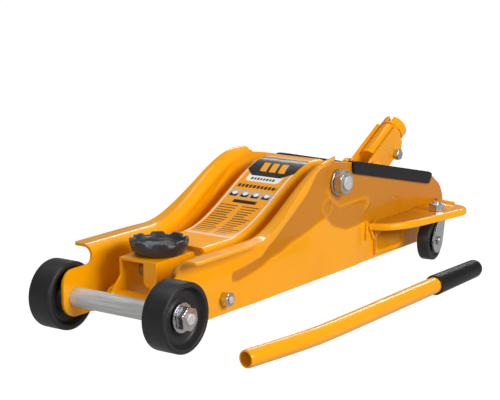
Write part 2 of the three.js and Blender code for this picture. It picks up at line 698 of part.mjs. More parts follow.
// A straight tube whose front stretch is bent a little inwards. It lies on the floor with
// its tip and with the thicker grip.
class HandlePath extends THREE.Curve {
  getPoint(t, target = new THREE.Vector3()) {
    const y = THREE.MathUtils.lerp(HANDLE.tipY, HANDLE.rear, t);
    const slope = (HANDLE.x - HANDLE.tipX) / (HANDLE.bend - HANDLE.tipY);
    const softness = 14;
    const past = (HANDLE.bend - y) / softness;
    const inward = slope * softness * Math.log1p(Math.exp(past));
    const along = Math.min(1, (y - HANDLE.tipY) / (GRIP.front - HANDLE.tipY));
    const height = THREE.MathUtils.lerp(HANDLE.radius, GRIP.radius, along);
    return target.set(HANDLE.x - inward, y, height);
  }
}

function addHandle() {
  const ring = outline(arc(0, 0, HANDLE.radius, 0, 337.5, 15));
  ring.holes.push(new THREE.Path().setFromPoints(
    arc(0, 0, HANDLE.radius - HANDLE.wall, 360, 22.5, 15).map(([u, v]) => new THREE.Vector2(u, v))));
  place('handle_tube', sweep(ring, new HandlePath(), 12), paint);
  const bore = HANDLE.radius + GAP;
  const sheath = [
    [GRIP.front, bore], [GRIP.front, GRIP.radius - 0.6], [GRIP.front + 1, GRIP.radius],
    [GRIP.rear - 4, GRIP.endRadius], [GRIP.rear - 1.2, GRIP.endRadius - 1.4],
    [GRIP.rear, GRIP.endRadius - 4],
    [GRIP.rear, 0], [HANDLE.rear + 0.5, 0], [HANDLE.rear + 0.5, bore], [GRIP.front, bore],
  ];
  place('handle_grip', turnedY(sheath, HANDLE.x, GRIP.radius, 28), rubber);
}

// ---------------------------------------------------------------- the whole jack

addFrame();
addFrontAxle();
addFrontTie();
addMainPivot();
addFrontWheels();
addCasters();
addLinkage();
addHydraulics();
addHandleSocket();
addHandle();

export default jack;
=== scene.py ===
"""The finished look of a low trolley jack with a loose pump handle."""

import json
import math

import bmesh
import bpy
import numpy as np
from mathutils import Matrix, Vector


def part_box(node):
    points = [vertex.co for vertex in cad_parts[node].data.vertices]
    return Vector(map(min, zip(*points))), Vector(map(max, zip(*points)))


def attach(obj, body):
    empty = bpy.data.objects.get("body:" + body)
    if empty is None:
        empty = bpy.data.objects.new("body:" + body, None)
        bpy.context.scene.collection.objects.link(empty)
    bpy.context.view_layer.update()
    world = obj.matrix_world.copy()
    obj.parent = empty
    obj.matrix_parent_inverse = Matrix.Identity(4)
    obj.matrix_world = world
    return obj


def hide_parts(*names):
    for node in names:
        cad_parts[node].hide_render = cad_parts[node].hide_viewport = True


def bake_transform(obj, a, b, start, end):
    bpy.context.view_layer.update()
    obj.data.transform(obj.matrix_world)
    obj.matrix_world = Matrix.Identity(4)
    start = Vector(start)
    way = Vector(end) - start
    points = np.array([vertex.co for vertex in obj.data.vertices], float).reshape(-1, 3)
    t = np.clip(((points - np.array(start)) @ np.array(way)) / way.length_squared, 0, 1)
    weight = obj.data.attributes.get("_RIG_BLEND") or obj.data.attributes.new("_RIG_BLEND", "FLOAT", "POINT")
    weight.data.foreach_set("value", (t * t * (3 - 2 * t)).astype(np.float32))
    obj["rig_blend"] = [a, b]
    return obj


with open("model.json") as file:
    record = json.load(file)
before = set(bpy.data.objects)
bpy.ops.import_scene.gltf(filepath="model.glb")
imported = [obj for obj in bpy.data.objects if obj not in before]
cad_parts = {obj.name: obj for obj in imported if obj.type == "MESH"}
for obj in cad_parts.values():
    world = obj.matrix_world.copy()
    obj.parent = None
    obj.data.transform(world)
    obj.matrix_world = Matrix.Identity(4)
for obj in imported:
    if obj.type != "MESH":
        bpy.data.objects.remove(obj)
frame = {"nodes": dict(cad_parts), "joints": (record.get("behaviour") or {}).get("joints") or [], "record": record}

bl_info = {
    "name": "Trolley jack",
    "version": (1, 0, 0),
    "blender": (4, 5, 0),
    "location": "3D View > Sidebar > Trolley jack",
    "description": "Pressed, turned and moulded pieces of a low trolley jack",
    "category": "Add Mesh",
}

MM = 0.001
SIDES = (("left", 1), ("right", -1))
BODY_OF = {
    node: body for body, nodes in frame["record"]["behaviour"]["bodies"].items() for node in nodes
}


def box_mm(node):
    """Lowest and highest corners of a CAD node, in millimetres of the row frame."""
    return np.array(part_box(node)) / MM


# The jack's own frame: x = 0 is its centre plane, y = 0 the front axle, z = 0 the floor.
JACK_ORIGIN = box_mm("front_axle").mean(axis=0) * (1, 1, 0)


def jack_box(node):
    """Lowest and highest corners of a CAD node, in millimetres of the jack's own frame."""
    return box_mm(node) - JACK_ORIGIN


def jack_middle(node):
    """Centre of a CAD node's box, in millimetres of the jack's own frame."""
    return jack_box(node).mean(axis=0)


# ---- colours and sizes


def srgb(text):
    """An sRGB hex value such as #F59A05 as linear red, green, blue and alpha."""
    share = np.array([int(text[i : i + 2], 16) for i in (1, 3, 5)]) / 255
    linear = np.where(share <= 0.04045, share / 12.92, ((share + 0.055) / 1.055) ** 2.4)
    return (*linear.tolist(), 1.0)


def colour_property(name, description, value):
    """A colour setting, given as an sRGB hex value."""
    return bpy.props.FloatVectorProperty(
        name=name, description=description, size=4, subtype="COLOR", min=0, max=1, default=srgb(value)
    )


def length_property(name, description, millimetres):
    """A length setting, given in millimetres."""
    return bpy.props.FloatProperty(
        name=name, description=description, unit="LENGTH", default=millimetres * MM, precision=4
    )


def angle_property(name, description, degrees):
    """An angle setting, given in degrees."""
    return bpy.props.FloatProperty(
        name=name, description=description, subtype="ANGLE", default=math.radians(degrees)
    )


class JackColours(bpy.types.PropertyGroup):
    """Colours of the jack's finishes."""

    paint: colour_property("Paint", "Amber powder coat on the pressed pieces", "#FBA600")
    # Painted shade: the coat darkened where the plates' recesses, the wings' ovals and the front of the wings'
    # shelves stand in shade.
    recess_and_shade: colour_property("Painted recess shade", "The same coat in the pressed recesses", "#C67A00")
    zinc: colour_property("Zinc", "Plating of nuts, washers and caster forks", "#D3D5D8")
    steel: colour_property("Steel", "Bare steel of the front axle", "#DCDCDA")
    chrome: colour_property("Chrome", "Plated ram and plunger", "#DDDFE2")
    iron: colour_property("Cast iron", "Black paint on the saddle", "#26272A")
    nylon: colour_property("Nylon", "Moulded wheels", "#222223")
    rubber: colour_property("Rubber", "Grips on the handle and on the plates", "#101011")
    ink: colour_property("Ink", "Dark print on the label", "#14120F")


class JackSizes(bpy.types.PropertyGroup):
    """Sizes that change how the pressed and moulded pieces look."""

    bend: length_property("Plate bend", "Outer radius between a plate and its flange", 8)
    swage: length_property("Swage", "How far the pressed fields of a plate stand out", 1.3)
    arm_bend: length_property("Arm bend", "Outer radius along the top of the arm", 5.5)
    edge: length_property("Sheet edge", "Rounding left on a sheet's cut edge", 0.6)
    lug: length_property("Saddle lug", "How far the lugs stand above the saddle's rim", 2.6)
    label: length_property("Label", "Thickness of the printed label", 0.15)


class JackStage(bpy.types.PropertyGroup):
    """Where the camera stands and what it looks at."""

    azimuth: angle_property("Azimuth", "Camera's turn round the jack", 36.38)
    elevation: angle_property("Elevation", "Camera's height above the horizon", 11.89)
    roll: angle_property("Roll", "Camera's tilt about its own view", -0.6)
    distance: length_property("Distance", "From the camera to the point it looks at", 1800)
    lens: bpy.props.FloatProperty(
        name="Lens", description="Focal length on a 36 mm sensor, in millimetres", default=118.2
    )
    target: bpy.props.FloatVectorProperty(
        name="Target", description="Point the camera looks at", subtype="TRANSLATION",
        unit="LENGTH", default=(-0.0601, -0.0009, 0.0930),
    )


# ---- finishes


def add(tree, kind, inputs=None, **settings):
    """Adds one node. An input given as a socket is linked, and any other value is set."""
    node = tree.nodes.new(kind)
    for key, value in settings.items():
        setattr(node, key, value)
    for key, value in (inputs or {}).items():
        if isinstance(value, bpy.types.NodeSocket):
            tree.links.new(value, node.inputs[key])
        else:
            node.inputs[key].default_value = value
    return node


def start_finish(name, **constants):
    """A new material with one shader, whose constant sockets are set directly."""
    material = bpy.data.materials.new(name)
    material.use_nodes = True
    tree = material.node_tree
    shader = tree.nodes["Principled BSDF"]
    for key, value in constants.items():
        shader.inputs[key.replace("_", " ")].default_value = value
    place = add(tree, "ShaderNodeTexCoord").outputs["Object"]
    return material, tree, shader, place


def speckle(tree, place, size_mm, detail=2.0):
    """Noise whose grains are about size_mm across."""
    inputs = {"Vector": place, "Scale": 1 / (size_mm * MM), "Detail": detail, "Roughness": 0.5}
    return add(tree, "ShaderNodeTexNoise", inputs).outputs["Fac"]


def between(tree, fac, low, high):
    """A number that goes from low to high as fac goes from 0.3 to 0.7."""
    inputs = {"Value": fac, "From Min": 0.3, "From Max": 0.7, "To Min": low, "To Max": high}
    return add(tree, "ShaderNodeMapRange", inputs).outputs["Result"]


# A mix node has sockets for every type of value. These numbers are those for colours.
MIX_FIRST, MIX_SECOND, MIX_RESULT = 6, 7, 2


def blended(tree, fac, first, second):
    """The colour that goes from first to second as fac goes from 0 to 1."""
    inputs = {0: fac, MIX_FIRST: first, MIX_SECOND: second}
    return add(tree, "ShaderNodeMix", inputs, data_type="RGBA").outputs[MIX_RESULT]


def bumped(tree, shader, height, strength, depth_mm):
    """Lets a height pattern tilt the surface."""
    inputs = {"Height": height, "Strength": strength, "Distance": depth_mm * MM}
    normal = add(tree, "ShaderNodeBump", inputs).outputs["Normal"]
    tree.links.new(normal, shader.inputs["Normal"])


def shade(colour, factor):
    """A colour with its light multiplied, and none above 1."""
    return tuple(min(1.0, share * factor) for share in colour[:3]) + (1.0,)


def patterned(tree, shader, pattern, first, second, reach, rough):
    """Colour and roughness from one pattern.

    The colour goes from first as far as `reach` of the way to second, and the roughness from
    rough[0] to rough[1].
    """
    colour = blended(tree, between(tree, pattern, 0, reach), first, second)
    tree.links.new(colour, shader.inputs["Base Color"])
    tree.links.new(between(tree, pattern, *rough), shader.inputs["Roughness"])


def powder_coat(name, colours):
    """Baked powder coat: saturated, glossy under a clear top, with a faint orange peel.

    The peel of the real coat is about 1 mm across. It is drawn at 2.5 mm so that it shows.
    """
    material, tree, shader, place = start_finish(
        name, Specular_IOR_Level=0.35, Specular_Tint=(1.0, 0.7, 0.1, 1.0),
        Coat_Weight=0.5, Coat_Roughness=0.06,
    )
    cloud = between(tree, speckle(tree, place, 60), 0, 1)
    coat = blended(tree, cloud, shade(colours.paint, 0.93), colours.paint)
    # A mesh attribute mixes in the darker colour as painted shade: in the plates' recesses, the wings' ovals and
    # the front of the wings' shelves.
    recess_and_shade = add(tree, "ShaderNodeAttribute", attribute_name="recess_and_shade").outputs["Fac"]
    tree.links.new(blended(tree, recess_and_shade, coat, colours.recess_and_shade), shader.inputs["Base Color"])
    peel = speckle(tree, place, 2.5)
    tree.links.new(between(tree, peel, 0.28, 0.36), shader.inputs["Roughness"])
    bumped(tree, shader, peel, 0.12, 0.2)
    return material


def zinc_plate(name, colours):
    """Bright zinc plating on steel: a cool metal with soft mottling a few millimetres wide."""
    material, tree, shader, place = start_finish(name, Metallic=1.0)
    mottle = speckle(tree, place, 4, 4.0)
    dull = shade(colours.zinc, 0.8)
    patterned(tree, shader, mottle, dull, colours.zinc, 1, (0.2, 0.34))
    bumped(tree, shader, mottle, 0.1, 0.1)
    return material


def drawn_steel(name, colours):
    """Cold-drawn bar: dull bare steel with streaks along its length, about 2 mm apart."""
    material, tree, shader, place = start_finish(name, Metallic=0.45)
    along = add(tree, "ShaderNodeMapping", {"Vector": place, "Scale": (0.05, 1, 1)})
    streak = speckle(tree, along.outputs["Vector"], 2, 3.0)
    dull = shade(colours.steel, 0.7)
    patterned(tree, shader, streak, dull, colours.steel, 1, (0.45, 0.6))
    bumped(tree, shader, streak, 0.15, 0.1)
    return material


def hard_chrome(name, colours):
    """Ground and chromed rod: a mirror with grinding rings about 2 mm apart.

    The real rings are finer than a tenth of a millimetre, too fine to show. At scale s a wave
    texture's bands are pi / (10 s) metres apart.
    """
    material, tree, shader, place = start_finish(name, Metallic=1.0)
    ring = add(tree, "ShaderNodeTexWave", {"Vector": place, "Scale": 160.0, "Distortion": 1.5})
    ring.bands_direction = "Y"
    colour = blended(tree, ring.outputs["Fac"], colours.chrome, colours.steel)
    tree.links.new(colour, shader.inputs["Base Color"])
    tree.links.new(between(tree, ring.outputs["Fac"], 0.08, 0.14), shader.inputs["Roughness"])
    return material


def painted_casting(name, colours):
    """Sand-cast iron under black enamel: the sand leaves bumps of about 1.5 mm."""
    material, tree, shader, place = start_finish(name, Coat_Weight=0.25, Coat_Roughness=0.2)
    sand = speckle(tree, place, 1.5, 4.0)
    pale = shade(colours.iron, 2.2)
    patterned(tree, shader, sand, colours.iron, pale, 0.5, (0.3, 0.45))
    bumped(tree, shader, sand, 0.35, 0.4)
    return material


def moulded_nylon(name, colours):
    """Injection-moulded nylon: charcoal with a satin skin and a fine grain."""
    material, tree, shader, place = start_finish(name, Specular_IOR_Level=0.35)
    grain = speckle(tree, place, 1.2, 3.0)
    scuff = speckle(tree, place, 14, 4.0)
    pale = shade(colours.nylon, 1.5)
    patterned(tree, shader, scuff, colours.nylon, pale, 0.6, (0.36, 0.48))
    bumped(tree, shader, grain, 0.12, 0.1)
    return material


def dipped_rubber(name, colours):
    """Soft PVC pushed over the metal: near black, smooth, with a dull shine."""
    material, tree, shader, place = start_finish(name, Specular_IOR_Level=0.3)
    skin = speckle(tree, place, 3, 3.0)
    pale = shade(colours.rubber, 1.8)
    patterned(tree, shader, skin, colours.rubber, pale, 0.6, (0.34, 0.44))
    bumped(tree, shader, skin, 0.1, 0.15)
    return material


FILM_GREY = (0.6, 0.6, 0.6, 1.0)


def printed_vinyl(name):
    """Printed label under a clear film. The print is in the mesh, as the colour "print"."""
    material, tree, shader, place = start_finish(
        name, Specular_IOR_Level=0.25, Coat_Weight=0.15, Coat_Roughness=0.08,
    )
    ink = add(tree, "ShaderNodeAttribute", attribute_name="print").outputs["Color"]
    film = speckle(tree, place, 6)
    patterned(tree, shader, film, ink, FILM_GREY, 0.03, (0.3, 0.38))
    return material


FINISHES = {
    "amber_paint": ("baked_powder_coat", powder_coat),
    "zinc_plate": ("bright_zinc_plating", zinc_plate),
    "bare_steel": ("cold_drawn_steel", drawn_steel),
    "chrome_rod": ("ground_hard_chrome", hard_chrome),
    "cast_black": ("enamelled_casting", painted_casting),
    "wheel_black": ("moulded_nylon", moulded_nylon),
    "black_rubber": ("dipped_rubber", dipped_rubber),
}


def finish(slot):
    """The material of one of the record's slots, made the first time it is wanted."""
    name, make = FINISHES[slot]
    return bpy.data.materials.get(name) or make(name, bpy.context.scene.jack_colours)


# ---- surfaces


def ease(value, low, high):
    """0 below low, 1 above high, and a smooth S between them."""
    t = np.clip((np.asarray(value, float) - low) / (high - low), 0, 1)
    return t * t * (3 - 2 * t)


def quarter_turn(count):
    """Angles from 0 to a right angle, both included."""
    return np.linspace(0, math.pi / 2, count)


def full_turn(count):
    """Angles once round a circle, without coming back to the first."""
    return np.linspace(0, 2 * math.pi, count, endpoint=False)


def arc(centre, radius, start, end, steps):
    """Points on a circle from one angle to another, in degrees."""
    angle = np.radians(np.linspace(start, end, steps))
    return np.stack([centre[0] + radius * np.cos(angle), centre[1] + radius * np.sin(angle)], 1)


def rounded(corners, radius, steps=5):
    """Each inner corner of a path becomes a curve that leaves it `radius` before and after.

    The curve is (1-t)^2 before + 2t(1-t) corner + t^2 after.
    """
    corners = np.asarray(corners, float)
    radius = np.broadcast_to(np.asarray(radius, float), (len(corners) - 2,))
    run = np.diff(corners, axis=0)
    length = np.linalg.norm(run, axis=1, keepdims=True)
    way = run / length
    reach = np.minimum(radius[:, None], 0.49 * np.minimum(length[:-1], length[1:]))[:, None]
    at, into, out = corners[1:-1, None], way[:-1, None], way[1:, None]
    t = np.linspace(0, 1, steps)[None, :, None]
    before, after = at - into * reach, at + out * reach
    curve = (1 - t) ** 2 * before + 2 * t * (1 - t) * at + t**2 * after
    return np.concatenate([corners[:1], curve.reshape(-1, corners.shape[1]), corners[-1:]])


def along_path(points, count):
    """The same path with `count` points at equal distances, and its total length."""
    points = np.asarray(points, float)
    travelled = np.concatenate([[0], np.cumsum(np.linalg.norm(np.diff(points, axis=0), axis=1))])
    at = np.linspace(0, travelled[-1], count)
    return np.stack([np.interp(at, travelled, column) for column in points.T], 1), travelled[-1]


def directions(path):
    """Unit steps along a path, one at each point."""
    way = np.gradient(path, axis=0)
    return way / np.linalg.norm(way, axis=1, keepdims=True)


def columns(values, count):
    """A grid whose `count` columns all hold the same values."""
    return np.repeat(np.asarray(values)[:, None], count, axis=1)


def distance_to_path(y, z, path):
    """Distance from every point to the nearest of a path's straight pieces."""
    start, end = path[:-1], path[1:]
    run = end - start
    offset = np.stack([y, z], -1)[..., None, :] - start
    share = np.clip((offset * run).sum(-1) / (run**2).sum(-1), 0, 1)
    return np.linalg.norm(offset - share[..., None] * run, axis=-1).min(-1)


def inside_outline(y, z, path):
    """True where a ray towards +y crosses the closed outline an odd number of times."""
    start, end = path, np.roll(path, -1, axis=0)
    y, z = y[..., None], z[..., None]
    spans = (start[:, 1] > z) != (end[:, 1] > z)
    height = np.where(end[:, 1] == start[:, 1], 1e-9, end[:, 1] - start[:, 1])
    crossing = start[:, 0] + (z - start[:, 1]) / height * (end[:, 0] - start[:, 0])
    return (spans & (crossing > y)).sum(-1) % 2 == 1


MERGE_DISTANCE = 1e-6
# Faces that meet at less than FLAT_ANGLE become one, and a turned face's facets, which meet at
# less than TURNED_ANGLE degrees, stay smooth.
FLAT_ANGLE = math.radians(0.8)
TURNED_ANGLE = 34


def grid_faces(rows, columns, first, around, keep):
    """Corner numbers of the faces between neighbouring points of a grid."""
    index = np.arange(rows * columns).reshape(rows, columns) + first
    if around:
        index = np.concatenate([index, index[:, :1]], axis=1)
    faces = np.stack([index[:-1, :-1], index[1:, :-1], index[1:, 1:], index[:-1, 1:]], axis=-1)
    return faces[keep] if keep is not None else faces.reshape(-1, 4)


class Patch:
    """A grid of points in the jack's frame, in millimetres, that becomes a surface.

    The points are given for the left (side 1), and side -1 mirrors them to the right. `around`
    joins each row's end to its start, and `keep` says which faces are made.
    """

    def __init__(self, points, side=1, around=False, keep=None, **attributes):
        self.points = np.asarray(points, float) * (side, 1, 1)
        self.around = around
        self.keep = keep
        self.attributes = attributes


def start_merged(mesh):
    """A working copy of a mesh with its double points merged."""
    work = bmesh.new()
    work.from_mesh(mesh)
    bmesh.ops.remove_doubles(work, verts=work.verts, dist=MERGE_DISTANCE)
    return work


def turn_outwards(mesh, outward):
    """Merges doubles and points the faces outwards, or along `outward` on an open sheet."""
    work = start_merged(mesh)
    bmesh.ops.recalc_face_normals(work, faces=work.faces)
    if outward is not None:
        facing = sum((f.normal * f.calc_area() for f in work.faces), Vector())
        if facing.dot(Vector(outward)) < 0:
            bmesh.ops.reverse_faces(work, faces=work.faces)
    work.to_mesh(mesh)
    work.free()


def new_object(name, mesh, sharp):
    """A piece at the origin, smooth where its faces meet at less than `sharp` degrees."""
    mesh.shade_smooth()
    mesh.set_sharp_from_angle(angle=math.radians(sharp))
    piece = bpy.data.objects.new(name, mesh)
    bpy.context.scene.collection.objects.link(piece)
    return piece


def surface(name, patches, outward=None, sharp=40):
    """One mesh from several grids of points, placed in the row frame."""
    points = np.concatenate([patch.points.reshape(-1, 3) for patch in patches])
    faces, first = [], 0
    for patch in patches:
        rows, columns = patch.points.shape[:2]
        faces.append(grid_faces(rows, columns, first, patch.around, patch.keep))
        first += rows * columns
    mesh = bpy.data.meshes.new(name)
    mesh.from_pydata(((points + JACK_ORIGIN) * MM).tolist(), [], np.concatenate(faces).tolist())
    for key in patches[0].attributes:
        values = np.concatenate([np.ravel(patch.attributes[key]) for patch in patches])
        colour = key == "print"
        layer = mesh.attributes.new(key, "FLOAT_COLOR" if colour else "FLOAT", "POINT")
        layer.data.foreach_set("color" if colour else "value", values.astype(np.float32))
    turn_outwards(mesh, outward)
    return new_object(name, mesh, sharp)


def revolved(profile, axis, centre, segments=96):
    """A profile of (along, radius) turned about an axis: centre + along, radius cos, radius sin."""
    profile = np.asarray(profile, float)
    angle = full_turn(segments)
    along = columns(profile[:, 0], segments)
    ways = (along, profile[:, 1:] * np.cos(angle), profile[:, 1:] * np.sin(angle))
    order = {"x": (0, 1, 2), "y": (1, 0, 2), "z": (1, 2, 0)}[axis]
    return Patch(np.stack([ways[i] for i in order], -1) + centre, around=True)


def tube_points(path, radius, segments, upright=(0.0, 0.0, 1.0)):
    """Circles of the given radii square to a path, with their first point towards `upright`."""
    path = np.asarray(path, float)
    way = directions(path)
    side = np.cross(way, upright)
    side /= np.linalg.norm(side, axis=1, keepdims=True)
    up = np.cross(side, way)
    angle = full_turn(segments)
    radius = np.broadcast_to(np.asarray(radius, float), (len(path),))[:, None, None]
    ring = side[:, None] * np.sin(angle)[None, :, None] + up[:, None] * np.cos(angle)[None, :, None]
    return path[:, None] + ring * radius


def sheet_metal(piece, thickness, edge):
    """Gives an open surface its thickness inwards, and rounds the cut edges."""
    solid = piece.modifiers.new("thickness", "SOLIDIFY")
    solid.thickness = thickness * MM
    solid.offset = -1
    soften_edges(piece, edge, 50)


def soften_edges(piece, radius, angle):
    """Rounds every edge sharper than `angle` degrees."""
    bevel = piece.modifiers.new("edges", "BEVEL")
    bevel.width = radius
    bevel.segments = 2
    bevel.limit_method = "ANGLE"
    bevel.angle_limit = math.radians(angle)
    bevel.miter_outer = "MITER_ARC"


def finish_piece(piece, slot, *nodes):
    """Gives a piece its finish, and makes it stand for CAD nodes of one body."""
    piece.data.materials.clear()
    piece.data.materials.append(finish(slot))
    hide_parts(*nodes)
    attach(piece, BODY_OF[nodes[0]])
    return piece


def build(name, patches, slot, node, outward=None, sheet=None, sharp=40):
    """A finished piece in place of a CAD node. `sheet` is a thickness and an edge rounding."""
    piece = surface(name, patches, outward, sharp)
    if sheet:
        sheet_metal(piece, *sheet)
    return finish_piece(piece, slot, node)


def refined(node, slot, radius_mm):
    """A merged copy of a CAD node with rounded edges, in place of the faceted one."""
    name = f"{node}_finished"
    mesh = frame["nodes"][node].data.copy()
    mesh.name = name
    work = start_merged(mesh)
    bmesh.ops.dissolve_limit(work, angle_limit=FLAT_ANGLE, verts=work.verts, edges=work.edges)
    work.to_mesh(mesh)
    work.free()
    piece = new_object(name, mesh, TURNED_ANGLE)
    soften_edges(piece, radius_mm * MM, TURNED_ANGLE)
    return finish_piece(piece, slot, node)


def refine_all(rows):
    """Refines every row of node, slot and rounding."""
    for row in rows:
        refined(*row)


# ---- side plates

PLATE_FACE = 57.0
PLATE_SHEET = 3.0
FLANGE_START = 26.0
FLANGE_END = 296.0

PLATE_BOTTOM = np.concatenate([
    arc((0, 33), 18, 180, 270, 12), [[22, 15], [40, 12], [498, 12]], arc((496, 48), 40, -60, 0, 10),
])
# The straight part of a plate's rear top edge, which a soft grip covers.
REAR_EDGE = ((333, 130), (505, 89.6))
PLATE_REAR_TOP = np.concatenate([
    [[303, 135.6], [319, 133], *REAR_EDGE], arc((496, 48), 40, 42, 0, 12),
])
PLATE_NOSE_TOP = np.concatenate([
    arc((-2, 48), 16, 180, 90, 12), [[20, 64], [23, 65], [25, 67.5], [26, 71.5]],
])
FLANGE_REACH = np.array([
    [26, 18.5], [27, 20.8], [29, 22.2], [32, 22.5], [110, 22.5], [175, 17], [215, 12.5],
    [262, 9.5], [282, 8.2], [291, 6], [296, 2],
])
# Outline of the pressed recess that runs from under the flange to the rear of a plate.
RECESS = np.array([
    [110, 47], [112, 42], [121, 41], [141, 44], [162, 48], [177, 53], [195, 56], [213, 62],
    [232, 66], [250, 70], [266, 75], [281, 77], [293, 66], [319, 57], [350, 57], [363, 59],
    [374, 50], [560, 50], [560, 160], [296, 160], [288, 137], [275, 135], [266, 131],
    [258, 123], [247, 111], [232, 101], [219, 93], [202, 83], [186, 73], [173, 67], [162, 59],
    [133, 54], [112, 52],
])
SWAGE = np.array([
    [283, 106], [288, 99], [298, 91], [309, 85], [333, 86], [350, 86], [362, 85], [367, 79],
    [362, 74],
])
UPPER_CREASE = np.array([[226, 101], [236, 107], [245, 114]])
PIN_BOSS = (283.5, 88.0, 9.5)


def flange_height(y):
    """The top edge's S: 79.5 at the front, 140.5 above the main pivot."""
    return 79.5 + 61 * ease(y, 132, 284)


def plate_columns():
    """Stations along a plate, closer together where its outline turns."""
    nose = -18 + 18 * (1 - np.cos(quarter_turn(16)))
    notch = np.linspace(18, 34, 33)
    rear = 516 + 20 * np.sin(quarter_turn(16))
    middle = np.concatenate([np.linspace(0, 18, 13), notch, np.linspace(34, 516, 310)])
    return np.unique(np.round(np.concatenate([nose, middle, rear]), 4))


def plate_top(y):
    """Height of a plate's top: nose, then the flange's S, then the straight rear edge."""
    nose = np.interp(y, *PLATE_NOSE_TOP.T)
    rear = np.interp(y, *PLATE_REAR_TOP.T)
    top = np.where(y < FLANGE_START, nose, flange_height(y))
    blend = ease(y, 292, 303)
    return np.where(y > 292, flange_height(y) * (1 - blend) + rear * blend, top)


def plate_relief(y, z, depth):
    """How far a plate's face stands out, and how much painted shade each point gets from the recess.

    The fields beside the recess are raised by `depth`. A ridge along the swage and the crease
    adds exp(-(distance / width)^2), and the boss over the link pin is a low ring. The ridges
    count as raised, and the swage and the ring take up to 0.4 off the painted shade as painted highlight.
    """
    edge = distance_to_path(y, z, np.concatenate([RECESS, RECESS[:1]]))
    recess_and_shade = ease(np.where(inside_outline(y, z, RECESS), edge, -edge), -1.8, 1.8)
    field = ease(y, 112, 150) * (1 - ease(y, 335, 358))
    swage = np.exp(-((distance_to_path(y, z, SWAGE) / 3.2) ** 2))
    crease = np.exp(-((distance_to_path(y, z, UPPER_CREASE) / 1.8) ** 2))
    boss = np.hypot(y - PIN_BOSS[0], z - PIN_BOSS[1])
    ring = np.exp(-(((boss - PIN_BOSS[2]) / 1.8) ** 2))
    relief = depth * (1 - recess_and_shade) * field + 1.6 * swage + 0.8 * crease + 1.1 * ring
    relief += 0.4 * (boss < PIN_BOSS[2])
    # The second value is painted shade, made lighter along the swage and the pin ring as painted highlight.
    return relief, recess_and_shade * (1 - 0.4 * np.maximum(swage, ring))


def plate_patch(side, sizes):
    """A plate as one surface: rows climb the web, turn through the bend and cross the flange.

    Web: x = face + relief(y, z). Bend: x = face + R(1 - cos a), z = top - R(1 - sin a).
    """
    y = plate_columns()
    low, top = np.interp(y, *PLATE_BOTTOM.T), plate_top(y)
    flanged = (y >= FLANGE_START) & (y <= FLANGE_END)
    reach = np.where(flanged, np.interp(y, *FLANGE_REACH.T), 0)
    bend = np.minimum(sizes.bend / MM, reach)
    share = np.linspace(0, 1, 66)
    web_z = low[:, None] + share * (top - bend - low)[:, None]
    web_y = columns(y, len(share))
    relief, recess_and_shade = plate_relief(web_y, web_z, sizes.swage / MM)
    settle = ease(top[:, None] - bend[:, None] - web_z, 0, 4)
    web_x = PLATE_FACE + relief * np.where(flanged[:, None], settle, 1)
    angle = quarter_turn(8)[1:]
    bend_x = PLATE_FACE + bend[:, None] * (1 - np.cos(angle))
    bend_z = (top - bend)[:, None] + bend[:, None] * np.sin(angle)
    out = np.linspace(0, 1, 6)[1:]
    lip_x = PLATE_FACE + bend[:, None] + out * (reach - bend)[:, None]
    lip_z = columns(top, len(out))
    x = np.concatenate([web_x, bend_x, lip_x], axis=1)
    z = np.concatenate([web_z, bend_z, lip_z], axis=1)
    points = np.stack([x, columns(y, x.shape[1]), z], -1)
    # Painted shade on the web only; the bend and the flange get none.
    recess_and_shade = np.concatenate([recess_and_shade, np.zeros((len(y), x.shape[1] - len(share)))], axis=1)
    keep = np.ones((len(y) - 1, x.shape[1] - 1), bool)
    keep[~(flanged[:-1] & flanged[1:]), len(share) - 1 :] = False
    return Patch(points, side, keep=keep, recess_and_shade=recess_and_shade)


def plain_coat():
    """The powder coat without the painted recess shade, for the inner faces of the plates."""
    name = "baked_powder_coat_inside"
    material = bpy.data.materials.get(name)
    if material is None:
        material = finish("amber_paint").copy()
        material.name = name
        for node in material.node_tree.nodes:
            if node.type == "ATTRIBUTE":
                # A name that no mesh carries, so no painted shade is mixed in.
                node.attribute_name = "no_recess"
    return material


class JACK_OT_side_plates(bpy.types.Operator):
    """Press the two side plates with their flanges and recesses"""

    bl_idname = "jack.side_plates"
    bl_label = "Side plates"

    def execute(self, context):
        sizes = context.scene.jack_sizes
        for name, side in SIDES:
            piece = build(
                f"pressed_plate_{name}", [plate_patch(side, sizes)], "amber_paint",
                f"side_plate_{name}", (side, 0, 0.2), (PLATE_SHEET, sizes.edge),
            )
            piece.modifiers["thickness"].material_offset = 1
            piece.data.materials.append(plain_coat())
        return {"FINISHED"}


# ---- caster wings

WING_ROOT = 57.3
WING_EDGE = np.array([
    [WING_ROOT, 368], [78, 379], [86, 392], [94, 411], [98.5, 435], [102, 456], [105, 475],
    [107.6, 492], [108, 501], [104.5, 510], [96, 517], [WING_ROOT, 521],
])
WING_TOP = 54.0
WING_SHEET = 3.0
LIP_DEPTH = 7.4
LIP_BEND = 4.0
WEB_START = 378
WEB_END = 483
WEB_TOP = 52
# The pressed oval in the web: its centre and its half sizes, along the jack and up.
OVAL_CENTRE = (409, 30.5)
OVAL_HALF = (28, 10.5)
OVAL_DEPTH = 1.5


